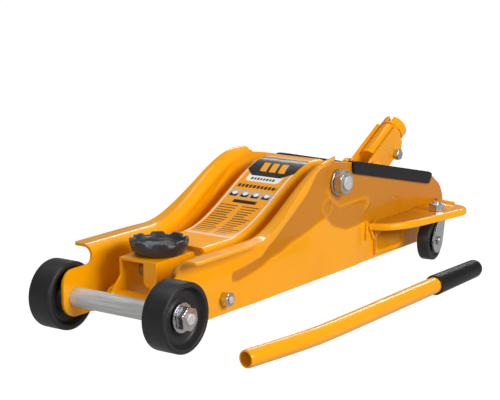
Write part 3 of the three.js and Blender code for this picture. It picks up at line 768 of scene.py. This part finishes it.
def wing_shelf(side):
    """The shelf: rows go from the plate to the edge, round its bend and down the lip.

    Each station's rows lie on a line square to the edge in plan, so the bend keeps its radius.
    """
    edge, _ = along_path(rounded(WING_EDGE, 12, 7), 150)
    way = directions(edge)
    outwards = np.stack([way[:, 1], -way[:, 0]], 1)
    radius = np.clip(edge[:, :1] - WING_ROOT, 0, LIP_BEND)
    inner = np.stack([np.full(len(edge), WING_ROOT), np.clip(edge[:, 1], 369, 520)], 1)
    start = edge - outwards * radius
    start[:, 0] = np.maximum(start[:, 0], WING_ROOT)
    share = np.linspace(0, 1, 10)[None, :, None]
    flat = inner[:, None] * (1 - share) + start[:, None] * share
    angle = quarter_turn(7)[1:]
    turn = start[:, None] + outwards[:, None] * radius[:, None] * np.sin(angle)[None, :, None]
    down = np.linspace(0, 1, 4)[1:]
    lip = np.repeat((start + outwards * radius)[:, None], len(down), axis=1)
    plan = np.concatenate([flat, turn, lip], axis=1)
    plan[..., 0] = np.maximum(plan[..., 0], WING_ROOT)
    height = np.concatenate([
        np.full((len(edge), flat.shape[1]), WING_TOP),
        WING_TOP - radius * (1 - np.cos(angle)),
        WING_TOP - radius - down * (LIP_DEPTH - radius),
    ], axis=1)
    # Painted shade on the shelf's top: full at the front and gone by 485 mm; none on the bend and the lip.
    shelf_shade = 1 - ease(plan[..., 1], 440, 485)
    shelf_shade[:, flat.shape[1] :] = 0
    points = np.concatenate([plan, height[..., None]], -1)
    return Patch(points, side, recess_and_shade=shelf_shade)


def wing_web(side):
    """The web below the shelf: a slab as thick as the sheet, with an oval pressed into it.

    The oval is (along / 28)^4 + (up / 10.5)^4 < 1. The outermost rows fold back to the plate.
    """
    along = np.concatenate([[WEB_START], np.linspace(WEB_START, WEB_END, 90), [WEB_END]])
    share = np.concatenate([[0], np.linspace(0, 1, 32), [1]])
    y = columns(along, len(share))
    low = np.interp(along, [WEB_START, WEB_END], [17, 14])[:, None]
    z = low + share * (WEB_TOP - low)
    from_centre = y - OVAL_CENTRE[0]
    up = z - OVAL_CENTRE[1] + from_centre * 0.02
    oval = (from_centre / OVAL_HALF[0]) ** 4 + (up / OVAL_HALF[1]) ** 4
    recess_and_shade = 1 - ease(oval, 0.75, 1.35)
    x = WING_ROOT + WING_SHEET - OVAL_DEPTH * recess_and_shade
    x[[0, -1]] = WING_ROOT
    x[:, [0, -1]] = WING_ROOT
    # The pressed oval also gets painted shade, at 0.8 of the full amount.
    return Patch(np.stack([x, y, z], -1), side, recess_and_shade=recess_and_shade * 0.8)


def weld_bead(start, end, radius):
    """A bead along a line, whose radius swells and shrinks by 22% in ripples 2.5 mm apart."""
    path, length = along_path(np.array([start, end]), 60)
    share = np.linspace(0, 1, 60)
    ends = np.sqrt(np.clip(1 - (2 * share - 1) ** 8, 0, 1))
    ripple = 1 + 0.22 * np.sin(share * length / 2.5 * 2 * math.pi)
    return tube_points(path, radius * ripple * ends, 16)


# Start, end and radius of each weld on a wing.
WELDS = (
    ((58.2, 363, 57), (58.2, 361, 36), 1.7),
    ((58.2, 368, 51.5), (58.2, 378, 34), 1.7),
    ((61.3, 384, 50.4), (61.3, 481, 50.4), 1.3),
)


class JACK_OT_caster_wings(bpy.types.Operator):
    """Fold the two caster wings and weld them to the plates"""

    bl_idname = "jack.caster_wings"
    bl_label = "Caster wings"

    def execute(self, context):
        sheet = (WING_SHEET, context.scene.jack_sizes.edge)
        for name, side in SIDES:
            node = f"caster_wing_{name}"
            shelf, web = [wing_shelf(side)], [wing_web(side)]
            beads = [Patch(weld_bead(*weld), side, around=True) for weld in WELDS]
            build(f"wing_shelf_{name}", shelf, "amber_paint", node, (0, 0, 1), sheet)
            build(f"wing_web_{name}", web, "amber_paint", node, (side, 0, 0))
            build(f"wing_weld_{name}", beads, "amber_paint", node)
        return {"FINISHED"}


# ---- wheels


def front_wheel_profile():
    """Half section of a front wheel: hub, dished web, rim and tread, as (along, radius)."""
    corners = [
        (61, 7.3), (61, 14), (65, 16), (65, 27), (58.9, 29.8), (58.9, 35), (86.7, 35), (86.7, 30.2),
        (84.8, 29.2), (79.2, 26.2), (77, 18), (78.7, 16.4), (78.7, 7.3),
    ]
    radii = [0.8, 1.5, 2.5, 1.2, 2.4, 2.4, 0.9, 0.8, 2.5, 1.6, 1.0]
    return rounded(corners, radii, 6)


def closed_profile(profile):
    """A profile that ends where it starts."""
    return np.concatenate([profile, profile[:1]])


class JACK_OT_front_wheels(bpy.types.Operator):
    """Mould the two front wheels"""

    bl_idname = "jack.front_wheels"
    bl_label = "Front wheels"

    def execute(self, context):
        profile = closed_profile(front_wheel_profile())
        for name, side in SIDES:
            node = f"front_wheel_{name}"
            centre = jack_middle(node) * (0, 1, 1)
            turned = revolved(profile * (side, 1), "x", centre, 128)
            build(f"dished_wheel_{name}", [turned], "wheel_black", node)
        return {"FINISHED"}


def caster_wheel_points(centre, heading):
    """A caster's wheel about its own level axle, which is turned by `heading` in plan."""
    corners = [
        (-7.8, 3.3), (-7.8, 6), (-7.2, 7.2), (-5.6, 8.6), (-5.6, 17), (-7.2, 18.4), (-7.2, 23),
        (7.2, 23), (7.2, 18.4), (5.6, 17), (5.6, 8.6), (7.2, 7.2), (7.8, 6), (7.8, 3.3),
    ]
    radii = [0.5, 0.5, 1, 1, 0.8, 2, 2, 0.8, 1, 1, 0.5, 0.5]
    profile = closed_profile(rounded(corners, radii, 4))
    points = revolved(profile, "x", (0, 0, 0), 72).points
    turn = np.array(Matrix.Rotation(heading, 3, "Z"))
    return points @ turn.T + centre


def caster_heading(name):
    """Plan angle of a caster's axle at rest, from the joint that its wheel rolls on."""
    joint = next(j for j in frame["joints"] if j["name"] == f"caster_roll_{name}")
    across, along, _ = joint["axis"]
    return math.atan2(along, across)


class JACK_OT_casters(bpy.types.Operator):
    """Mould the caster wheels and press their forks"""

    bl_idname = "jack.casters"
    bl_label = "Casters"

    def execute(self, context):
        for name, _ in SIDES:
            node = f"caster_wheel_{name}"
            points = caster_wheel_points(jack_middle(node), caster_heading(name))
            build(f"caster_roller_{name}", [Patch(points, around=True)], "wheel_black", node)
            refined(f"caster_fork_{name}", "zinc_plate", 0.5)
            refined(f"caster_axle_{name}", "zinc_plate", 0.5)
        return {"FINISHED"}


# ---- fasteners


def hexagon_nut(across_flats, bore, start, end, turn):
    """A nut along x: radius = the smaller of the hexagon's and a cone's that trims each end.

    The hexagon's radius at an angle is flats / 2 / cos(angle to the middle of the nearest flat).
    """
    x = np.concatenate([
        [start, start], start + np.linspace(0, 2, 7), end - np.linspace(2, 0, 7), [end, end],
    ])
    angle = full_turn(144)
    flat = across_flats / 2 / np.cos(np.mod(angle + turn, math.pi / 3) - math.pi / 6)
    cone = across_flats / 2 * 0.97 + np.minimum(x - start, end - x) * math.tan(math.radians(68))
    radius = np.minimum(flat[None], cone[:, None])
    radius[[0, -1]] = bore
    radius[[1, -2]] = np.minimum(radius[[1, -2]], across_flats / 2 * 0.96)
    ring = np.stack([radius * np.cos(angle), radius * np.sin(angle)], -1)
    points = np.concatenate([columns(x, len(angle))[..., None], ring], -1)
    return np.concatenate([points, points[:1]])


# The axis that each nut is on (0 across the jack, 2 upright), its size across the flats, the
# radius of its bore and the turn of its flats in radians.
NUTS = {
    "wheel_nut": (0, 22, 6.3, 0.35),
    "tie_nut": (0, 13.5, 4.3, 0.2),
    "pivot_nut": (0, 24, 8.3, 0.5),
    "kingpin_nut": (2, 17, 4.3, 0.0),
}


def place_nut(node, axis, across_flats, bore, turn):
    """A hexagon nut between the two faces of its CAD node."""
    start, end = jack_box(node)[:, axis]
    points = np.roll(hexagon_nut(across_flats, bore, start, end, turn), axis, axis=-1)
    points += jack_middle(node) * (np.arange(3) != axis)
    build(f"{node}_chamfered", [Patch(points, around=True)], "zinc_plate", node, sharp=25)


class JACK_OT_fasteners(bpy.types.Operator):
    """Turn the shafts and cut the nuts and washers"""

    bl_idname = "jack.fasteners"
    bl_label = "Shafts and fasteners"

    def execute(self, context):
        for name, _ in SIDES:
            for stem, sizes in NUTS.items():
                place_nut(f"{stem}_{name}", *sizes)
            refined(f"wheel_washer_{name}", "zinc_plate", 0.4)
            refined(f"pivot_washer_{name}", "zinc_plate", 0.5)
            refined(f"kingpin_{name}", "zinc_plate", 0.4)
        refine_all((
            ("front_axle", "bare_steel", 0.5),
            ("front_tie_rod", "bare_steel", 0.5),
            ("main_pivot_shaft", "bare_steel", 0.6),
        ))
        return {"FINISHED"}


# ---- lift arm

ARM_HALF = 36.0
ARM_SHEET = 3.5
ARM_NOSE = (66.0, 55.0)
NOSE_RADIUS = 14.0
PIVOT = (304.0, 113.0)
TAIL_RADIUS = 22.5
ARM_REAR = 343.2
# Along the arm, its roof lies between these two stations.
ROOF_START = 94.0
ROOF_END = 325.5
ARM_TOP = np.concatenate([
    arc(ARM_NOSE, NOSE_RADIUS, 180, 120, 8), [[80, 70.5], [ROOF_START, 77.5]],
])
ARM_TAIL = np.concatenate([arc(PIVOT, TAIL_RADIUS, 90, 0, 16), [[337, 84], [ARM_REAR, 68.5]]])
ARM_BOTTOM = np.concatenate([
    arc(ARM_NOSE, NOSE_RADIUS, 180, 270, 10),
    [[150, 46], [190, 56], [232, 72], [270, 80], [304, 84], [320, 61]],
    arc((331.5, 65.4), 12, 215, 370, 12),
])


def arm_height(y):
    """The arm's roof: 77.5 behind the saddle, 135.5 above the main pivot, an S between them."""
    return 77.5 + 58 * ease(y, 143, 300)


def arm_stations():
    """Stations along the arm: even ones, then closer ones round the nose and the main pivot."""
    nose = ARM_NOSE[0] - NOSE_RADIUS * np.cos(quarter_turn(10))
    front = np.linspace(ARM_NOSE[0], ROOF_START, 16)
    roof = np.linspace(ROOF_START, PIVOT[0], 132)
    tail = PIVOT[0] + TAIL_RADIUS * np.sin(quarter_turn(14))
    stations = np.concatenate([nose, front, roof, tail, [330, 334, 338, 341, ARM_REAR]])
    return np.unique(np.round(stations, 4))


def arm_patch(bend):
    """The arm as one folded surface: right cheek, bend, roof, bend and left cheek.

    Across the arm the section is a channel. Before ROOF_START and behind ROOF_END only the
    cheeks go on.
    """
    y = arm_stations()
    top = np.where(y < ROOF_START, np.interp(y, *ARM_TOP.T), arm_height(y))
    top = np.where(y > PIVOT[0], np.interp(y, *ARM_TAIL.T), top)
    low = np.interp(y, *ARM_BOTTOM.T)
    drop = bend * ease(y, 80, ROOF_START) * (1 - ease(y, 326, 330))
    cheek = np.linspace(0, 1, 18)
    angle = quarter_turn(8)
    cheek_z = low[:, None] + cheek * (top - drop - low)[:, None]
    bend_x = -ARM_HALF + bend * (1 - np.cos(angle[1:]))
    bend_z = (top - drop)[:, None] + drop[:, None] * np.sin(angle[1:])
    roof_x = np.linspace(-ARM_HALF + bend, ARM_HALF - bend, 14)[1:-1]
    half_x = np.concatenate([np.full(len(cheek), -ARM_HALF), bend_x])
    x = np.concatenate([half_x, roof_x, -half_x[::-1]])
    half_z = np.concatenate([cheek_z, bend_z], axis=1)
    z = np.concatenate([half_z, columns(top, len(roof_x)), half_z[:, ::-1]], axis=1)
    points = np.stack([np.broadcast_to(x, z.shape), columns(y, len(x)), z], -1)
    roofed = (y[:-1] >= ROOF_START) & (y[1:] <= ROOF_END)
    keep = np.ones((len(y) - 1, len(x) - 1), bool)
    keep[~roofed, len(cheek) - 1 : len(x) - len(cheek)] = False
    return Patch(points, keep=keep)


def arm_hub():
    """The pivot tube between the cheeks."""
    half = ARM_HALF - ARM_SHEET
    profile = np.array([(-half, 10.3), (-half, 15), (half, 15), (half, 10.3)])
    return revolved(closed_profile(profile), "x", (0, *PIVOT), 48)


LABEL_HALF = 30.5
LABEL_FRONT = 143.0
LABEL_REAR = 289.0


def rectangle(across, along, left, right, front, rear):
    """True inside a rectangle of the label."""
    return (across > left) & (across < right) & (along > front) & (along < rear)


def label_colours(across, along, length, ink):
    """Colour of the print at each point: blocks, bars and rules without any lettering.

    `across` runs from -LABEL_HALF to LABEL_HALF and `along` from the front edge to the rear.
    """
    amber, white, grey = (np.array(srgb(text)) for text in ("#F7A20A", "#F2F0EA", "#B9B6AE"))
    black = np.array(ink)
    colour = np.broadcast_to(amber, (*across.shape, 4)).copy()
    back = length - along
    colour[np.abs(across) > LABEL_HALF - 1.8] = white
    colour[(along < 2.2) | ((along > 3.6) & (along < 4.8))] = white
    slope = np.clip((np.abs(across) - 19) * 0.9, 0, None)
    colour[(back < 52 - slope) & (np.abs(across) < 22)] = white
    colour[back < 42 - slope] = black
    for shift in (-12, 0, 12):
        bar = (np.abs(across - shift - (back - 24) * 0.25) < 4.2) & (np.abs(back - 24) < 9)
        colour[bar] = amber
    colour[rectangle(across, back, -16, 16, 45, 49) & (np.mod(across, 4) < 2.6)] = black
    colour[rectangle(across, back, -26, 26, 58, 63) & (np.mod(across, 5) < 3.6)] = black
    for left in (-27, -13, 1, 15):
        colour[rectangle(across, back, left, left + 12, 68, 80)] = grey
        colour[rectangle(across, back, left + 1, left + 11, 74, 79)] = black
        colour[np.hypot(across - left - 6, (back - 73.5) * 1.2) < 3.2] = white
    colour[rectangle(across, back, -15, 15, 84, 89)] = black
    lines = (np.mod(along, 4.2) < 1.7) & (along > 9) & (back > 92)
    ragged = np.mod(np.floor(along / 4.2) * 7.3, 9)
    words = np.mod(across * 1.7 + np.floor(along / 4.2) * 2.1, 5) < 4.1
    left_column = rectangle(across, along, -27, -3 - ragged * 0.6, 0, 999)
    right_column = rectangle(across, along, 2, 26 - ragged * 1.3, 0, 999)
    colour[lines & words & (left_column | right_column)] = black
    return colour


def label_patch(lift, ink):
    """The label: the arm's roof between two stations, raised by the film's thickness."""
    y = np.linspace(LABEL_FRONT, LABEL_REAR, 420)
    path = np.stack([y, arm_height(y)], 1)
    way = directions(path)
    path = path + np.stack([-way[:, 1], way[:, 0]], 1) * lift
    step = np.linalg.norm(np.diff(path, axis=0), axis=1)
    travelled = np.concatenate([[0], np.cumsum(step)])
    across = np.linspace(-LABEL_HALF, LABEL_HALF, 130)
    x = np.broadcast_to(across, (len(y), len(across)))
    along, y, z = (columns(values, len(across)) for values in (travelled, *path.T))
    colours = label_colours(x, along, travelled[-1], ink)
    return Patch(np.stack([x, y, z], -1), print=colours)


class JACK_OT_lift_arm(bpy.types.Operator):
    """Fold the lift arm and stick its label on"""

    bl_idname = "jack.lift_arm"
    bl_label = "Lift arm and label"

    def execute(self, context):
        sizes, ink = context.scene.jack_sizes, context.scene.jack_colours.ink
        arm, sheet = [arm_patch(sizes.arm_bend / MM)], (ARM_SHEET, sizes.edge)
        build("folded_arm", arm, "amber_paint", "lift_arm", (0, 0, 1), sheet)
        build("arm_hub", [arm_hub()], "amber_paint", "lift_arm")
        label = surface("printed_label", [label_patch(sizes.label / MM, ink)], (0, 0, 1))
        label.data.materials.append(printed_vinyl("printed_vinyl"))
        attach(label, BODY_OF["lift_arm"])
        refine_all((("bracket_pin", "zinc_plate", 0.5), ("thrust_pin", "bare_steel", 0.5)))
        for name, _ in SIDES:
            refined(f"radius_link_{name}", "amber_paint", 0.5)
            refined(f"link_rear_pin_{name}", "zinc_plate", 0.4)
        return {"FINISHED"}


# ---- saddle


def saddle_points(lug_height):
    """The cup: its rim stands on eight lugs and dips between them.

    Rim height = top - lug height (1 - s), where s goes smoothly from 0 in a gap to 1 on a lug.
    Near the rim the wall is 0.3 mm further out on a lug, and 0.6 mm further in between them.
    """
    profile = rounded([
        (0, 66), (7, 66), (7, 74), (24.5, 74), (27, 77), (29.3, 82), (29.8, 86), (29.8, 89.6),
        (26.4, 89.6), (25.2, 86), (23.6, 82.6), (0, 82),
    ], [0.5, 1, 1.2, 1.5, 2, 1.5, 1.1, 1.1, 1.2, 1.5], 4)
    profile[:, 0] = np.maximum(profile[:, 0], 0.01)
    angle = full_turn(192)
    lug = ease(np.cos(8 * angle + 0.4), -0.75, 0.1)
    share = ease(profile[:, 1], 83, 89.6)[:, None] * (profile[:, 0] > 23)[:, None]
    z = profile[:, 1:] - share * (1 - lug) * lug_height
    radius = profile[:, :1] + 0.3 * share * lug - 0.6 * share * (1 - lug)
    ring = np.stack([radius * np.cos(angle), radius * np.sin(angle), z], -1)
    return ring + jack_middle("saddle") * (1, 1, 0)


class JACK_OT_saddle(bpy.types.Operator):
    """Cast the saddle and fold the bracket under it"""

    bl_idname = "jack.saddle"
    bl_label = "Saddle and bracket"

    def execute(self, context):
        lug = context.scene.jack_sizes.lug / MM
        cup = [Patch(saddle_points(lug), around=True)]
        build("cast_saddle", cup, "cast_black", "saddle", sharp=60)
        refine_all((
            ("saddle_ring", "zinc_plate", 0.2),
            ("saddle_bracket", "amber_paint", 1.0),
            ("link_front_pin", "zinc_plate", 0.4),
        ))
        return {"FINISHED"}


# ---- edge grips


GRIP_WALL = 1.8
LEG_DEPTH = 12
LEG_END = 6


def edge_grip_patch(side, first):
    """A soft channel over a plate's rear edge: its legs end in quarter rounds.

    `first` is where it starts along the edge, in millimetres. The leg's depth is
    12 sqrt(1 - (1 - d / 6)^2) within d = 6 mm of either end.
    """
    start, end = np.array(REAR_EDGE)
    run = np.linalg.norm(end - start)
    way = (end - start) / run
    up = np.array([-way[1], way[0]])
    at = first + (run - first) * (1 - np.cos(np.linspace(0, math.pi, 90))) / 2
    near = np.clip(np.minimum(at - first, run - at) / LEG_END, 0, 1)[:, None]
    leg = LEG_DEPTH * np.sqrt(np.clip(1 - (1 - near) ** 2, 0, 1))
    section = rounded([(51.4, -1), (51.4, 0.999), (51.4, 2.2), (59.6, 2.2), (59.6, -1)], 1.4, 5)
    height = np.where(section[:, 1] < -0.5, -leg, section[:, 1])
    height -= 1.2 * (1 - near) * (section[:, 1] > 0)
    side_on = start + at[:, None, None] * way + height[..., None] * up
    x = np.broadcast_to(section[:, 0], height.shape)
    return Patch(np.concatenate([x[..., None], side_on], -1), side)


class JACK_OT_edge_grips(bpy.types.Operator):
    """Push the soft grips over the rear edges of the plates"""

    bl_idname = "jack.edge_grips"
    bl_label = "Edge grips"

    def execute(self, context):
        for (name, side), first in zip(SIDES, (0, 20)):
            build(
                f"soft_edge_grip_{name}", [edge_grip_patch(side, first)], "black_rubber",
                f"edge_grip_{name}", (0, 0, 1), (GRIP_WALL, 0.5 * MM),
            )
        return {"FINISHED"}


# ---- hydraulic unit


def coil_points(centre, start, end, axis, coil_radius, wire, turns):
    """A coil spring between two places on an axis, as a tube whose ends close to a point.

    The wire's centre is coil_radius (cos a, sin a) about the axis, with a = 2 pi turns t.
    """
    t = np.linspace(0, 1, int(turns * 28))
    angle = 2 * math.pi * turns * t
    along = start + (end - start) * t
    ways = [coil_radius * np.cos(angle), coil_radius * np.sin(angle)]
    ways.insert(axis, along)
    path = np.stack(ways, 1) + np.where(np.arange(3) == axis, 0, centre)
    radius = np.full(len(path), wire)
    radius[[0, -1]] = 0.01
    return tube_points(path, radius, 10, np.eye(3)[axis])


def add_spring(node, axis, coil_radius, turns, body, at_low):
    """A coil in place of a CAD one, which stretches as its two bodies move apart.

    One end stays on the frame. `body` carries the other, the lower one on the axis if `at_low`.
    """
    low, high = jack_box(node)
    start, end = low[axis] + 1, high[axis] - 1
    points = coil_points((low + high) / 2, start, end, axis, coil_radius, 1.0, turns)
    piece = surface(f"{node}_coiled", [Patch(points, around=True)])
    piece.data.materials.append(finish("bare_steel"))
    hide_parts(node)
    places = np.repeat(((low + high) / 2)[None], 2, axis=0)
    places[:, axis] = (end, start) if at_low else (start, end)
    places = (places + JACK_ORIGIN) * MM
    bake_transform(piece, "frame", body, tuple(places[0]), tuple(places[1]))


class JACK_OT_hydraulic_unit(bpy.types.Operator):
    """Finish the pump block, the reservoir, the ram and their springs"""

    bl_idname = "jack.hydraulic_unit"
    bl_label = "Hydraulic unit"

    def execute(self, context):
        refine_all((
            ("reservoir", "amber_paint", 0.8),
            ("pump_block", "amber_paint", 0.8),
            ("base_plate", "amber_paint", 0.5),
            ("rear_cross_bar", "amber_paint", 0.5),
            ("ram", "chrome_rod", 0.5),
            ("pump_plunger", "chrome_rod", 0.4),
            ("filler_plug", "black_rubber", 0.4),
            ("release_valve", "zinc_plate", 0.4),
        ))
        for name, _ in SIDES:
            add_spring(f"return_spring_{name}", 1, 5, 9, "piston", at_low=True)
        add_spring("plunger_spring", 2, 6.8, 4, "plunger", at_low=False)
        return {"FINISHED"}


# ---- handle socket


class JACK_OT_handle_socket(bpy.types.Operator):
    """Finish the socket that takes the pump handle"""

    bl_idname = "jack.handle_socket"
    bl_label = "Handle socket"

    def execute(self, context):
        refine_all((
            ("handle_socket", "amber_paint", 0.8),
            ("socket_pin", "zinc_plate", 0.5),
            ("pump_roller", "bare_steel", 0.4),
            ("clamp_screw", "zinc_plate", 0.5),
        ))
        return {"FINISHED"}


# ---- pump handle

HANDLE_RADIUS = 9.0
HANDLE_WALL = 1.9
HANDLE_FRONT = -5
HANDLE_REAR = 404
GRIP_RADIUS = 11.0
GRIP_END_RADIUS = 10.0
GRIP_FRONT = 315
GRIP_REAR = 410


def handle_path(y):
    """The tube's centre line, with its front end bent softly inwards.

    x = straight - slope * softness * log(1 + exp((bend - y) / softness)). The tube lies on its
    tip and on the thicker grip, so it rises by their difference on the way.
    """
    straight, slope, softness, bend = 173, 14 / 93, 14, 88
    x = straight - slope * softness * np.log1p(np.exp((bend - y) / softness))
    z = np.interp(y, [HANDLE_FRONT, GRIP_FRONT], [HANDLE_RADIUS, GRIP_RADIUS])
    return np.stack([x, y, z], 1)


def handle_tube():
    """The tube: outside forwards, over the rounded mouth and back along the bore."""
    bent, straight = np.linspace(HANDLE_FRONT, 140, 70), np.linspace(140, HANDLE_REAR, 30)
    y = np.concatenate([bent, straight[1:]])
    path = handle_path(y)
    outside = tube_points(path, HANDLE_RADIUS, 48)
    outside[0] = tube_points(path[:3], HANDLE_RADIUS - 0.5, 48)[0]
    lip = tube_points(path[:3], HANDLE_RADIUS - HANDLE_WALL / 2, 48)[:1]
    inside = tube_points(path, HANDLE_RADIUS - HANDLE_WALL, 48)
    return np.concatenate([inside[::-1], lip, outside, inside[-1:]])


def handle_grip_profile():
    """Half section of the grip: a thin open mouth, a slight taper and a rounded rear end."""
    bore = HANDLE_RADIUS + 0.3
    bottom = HANDLE_REAR + 0.6
    corners = [
        (bottom, 0.01), (bottom, bore), (GRIP_FRONT, bore), (GRIP_FRONT, GRIP_RADIUS),
        (GRIP_REAR - 6, GRIP_END_RADIUS), (GRIP_REAR, 7), (GRIP_REAR, 0.01),
    ]
    return rounded(corners, [0.5, 0.3, 0.8, 3.5, 3.0], 7)


class JACK_OT_pump_handle(bpy.types.Operator):
    """Bend the loose pump handle and push its grip on"""

    bl_idname = "jack.pump_handle"
    bl_label = "Pump handle"

    def execute(self, context):
        tube = Patch(handle_tube(), around=True)
        build("bent_handle_tube", [tube], "amber_paint", "handle_tube")
        centre = jack_middle("handle_grip") * (1, 0, 1)
        grip = revolved(handle_grip_profile(), "y", centre, 64)
        build("soft_handle_grip", [grip], "black_rubber", "handle_grip")
        return {"FINISHED"}


# ---- stage

# The camera sees the floor and the sky at full white. These are the shares that light the jack.
FLOOR_GLOW = 0.4
SKY_GLOW = 0.2
FLOOR_HALF = 14
LIGHT_TARGET = Vector((0, 0, 0.05))
# Where each light hangs and its two sides, in metres, and its power in watts.
LIGHTS = {
    "key_light": ((1.9, -0.1, 1.0), (1.2, 0.8), 38),
    "top_light": ((-0.5, -0.3, 1.9), (1.3, 1.0), 11),
    "front_light": ((0.3, -2.0, 0.8), (1.0, 0.6), 9),
    "back_light": ((-0.7, 1.7, 1.2), (1.4, 0.14), 9),
}


def area_light(name, place, size, power):
    """A soft rectangular light at a place, turned to face the jack."""
    data = bpy.data.lights.new(name, "AREA")
    data.shape = "RECTANGLE"
    data.size, data.size_y = size
    data.energy = power
    light = bpy.data.objects.new(name, data)
    light.location = place
    light.rotation_euler = (LIGHT_TARGET - Vector(place)).to_track_quat("-Z", "Y").to_euler()
    bpy.context.scene.collection.objects.link(light)


def seen_or_lit(tree, seen, lit):
    """A strength that is `seen` to the camera and `lit` to everything the light falls on."""
    camera_ray = add(tree, "ShaderNodeLightPath").outputs["Is Camera Ray"]
    return between(tree, camera_ray, lit, seen)


def pale_floor():
    """A matt floor that looks white to the camera, and throws less light than that upwards."""
    material, tree, shader, place = start_finish("pale_floor", Specular_IOR_Level=0.0)
    tone = speckle(tree, place, 400)
    colour = blended(tree, tone, srgb("#505050"), srgb("#5C5C5C"))
    tree.links.new(colour, shader.inputs["Base Color"])
    shader.inputs["Roughness"].default_value = 0.9
    shader.inputs["Emission Color"].default_value = (1, 1, 1, 1)
    tree.links.new(seen_or_lit(tree, 1.0, FLOOR_GLOW), shader.inputs["Emission Strength"])
    mesh = bpy.data.meshes.new("floor")
    corners = [(x * FLOOR_HALF, y * FLOOR_HALF, 0) for x, y in ((-1, -1), (1, -1), (1, 1), (-1, 1))]
    mesh.from_pydata(corners, [], [(0, 1, 2, 3)])
    mesh.materials.append(material)
    floor = bpy.data.objects.new("floor", mesh)
    bpy.context.scene.collection.objects.link(floor)


def add_camera(stage):
    """The camera looks at the target from its azimuth, elevation and distance."""
    data = bpy.data.cameras.new("camera")
    data.lens = stage.lens
    data.sensor_width = 36
    camera = bpy.data.objects.new("camera", data)
    level = math.cos(stage.elevation)
    back = Vector((
        math.sin(stage.azimuth) * level, -math.cos(stage.azimuth) * level,
        math.sin(stage.elevation),
    ))
    camera.location = Vector(stage.target) + back * stage.distance
    roll = Matrix.Rotation(stage.roll, 4, "Z")
    aim = (-back).to_track_quat("-Z", "Y").to_matrix().to_4x4() @ roll
    camera.rotation_euler = aim.to_euler()
    bpy.context.scene.collection.objects.link(camera)
    bpy.context.scene.camera = camera


def white_sky():
    """Even light from all round, in a world that looks white to the camera."""
    world = bpy.data.worlds.new("studio")
    world.use_nodes = True
    background = world.node_tree.nodes["Background"]
    background.inputs["Color"].default_value = (1, 1, 1, 1)
    strength = seen_or_lit(world.node_tree, 1.0, SKY_GLOW)
    world.node_tree.links.new(strength, background.inputs["Strength"])
    bpy.context.scene.world = world


class JACK_OT_stage(bpy.types.Operator):
    """Lay the floor, hang the lights and place the camera"""

    bl_idname = "jack.stage"
    bl_label = "Floor, lights and camera"

    def execute(self, context):
        context.scene.view_settings.view_transform = "Standard"
        pale_floor()
        add_camera(context.scene.jack_stage)
        white_sky()
        for name, (place, size, power) in LIGHTS.items():
            area_light(name, place, size, power)
        return {"FINISHED"}


# ---- panel and run

PIECES = (
    JACK_OT_side_plates, JACK_OT_caster_wings, JACK_OT_front_wheels, JACK_OT_casters,
    JACK_OT_fasteners, JACK_OT_lift_arm, JACK_OT_saddle, JACK_OT_edge_grips,
    JACK_OT_hydraulic_unit, JACK_OT_handle_socket, JACK_OT_pump_handle, JACK_OT_stage,
)
GROUPS = (JackColours, JackSizes, JackStage)


class JACK_PT_pieces(bpy.types.Panel):
    """Lists the jack's pieces in the sidebar"""

    bl_label = "Trolley jack"
    bl_idname = "JACK_PT_pieces"
    bl_space_type = "VIEW_3D"
    bl_region_type = "UI"
    bl_category = "Trolley jack"

    def draw(self, context):
        for piece in PIECES:
            self.layout.operator(piece.bl_idname)


def register():
    """Adds the classes and the settings to Blender."""
    for item in (*GROUPS, *PIECES, JACK_PT_pieces):
        bpy.utils.register_class(item)
    bpy.types.Scene.jack_colours = bpy.props.PointerProperty(type=JackColours)
    bpy.types.Scene.jack_sizes = bpy.props.PointerProperty(type=JackSizes)
    bpy.types.Scene.jack_stage = bpy.props.PointerProperty(type=JackStage)


def unregister():
    """Takes the settings and the classes out again."""
    del bpy.types.Scene.jack_colours, bpy.types.Scene.jack_sizes, bpy.types.Scene.jack_stage
    for item in reversed((*GROUPS, *PIECES, JACK_PT_pieces)):
        bpy.utils.unregister_class(item)


def main():
    """Makes every piece."""
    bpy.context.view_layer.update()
    register()
    for piece in PIECES:
        group, name = piece.bl_idname.split(".")
        getattr(getattr(bpy.ops, group), name)()
    bpy.context.view_layer.update()


if __name__ == "__main__":
    main()
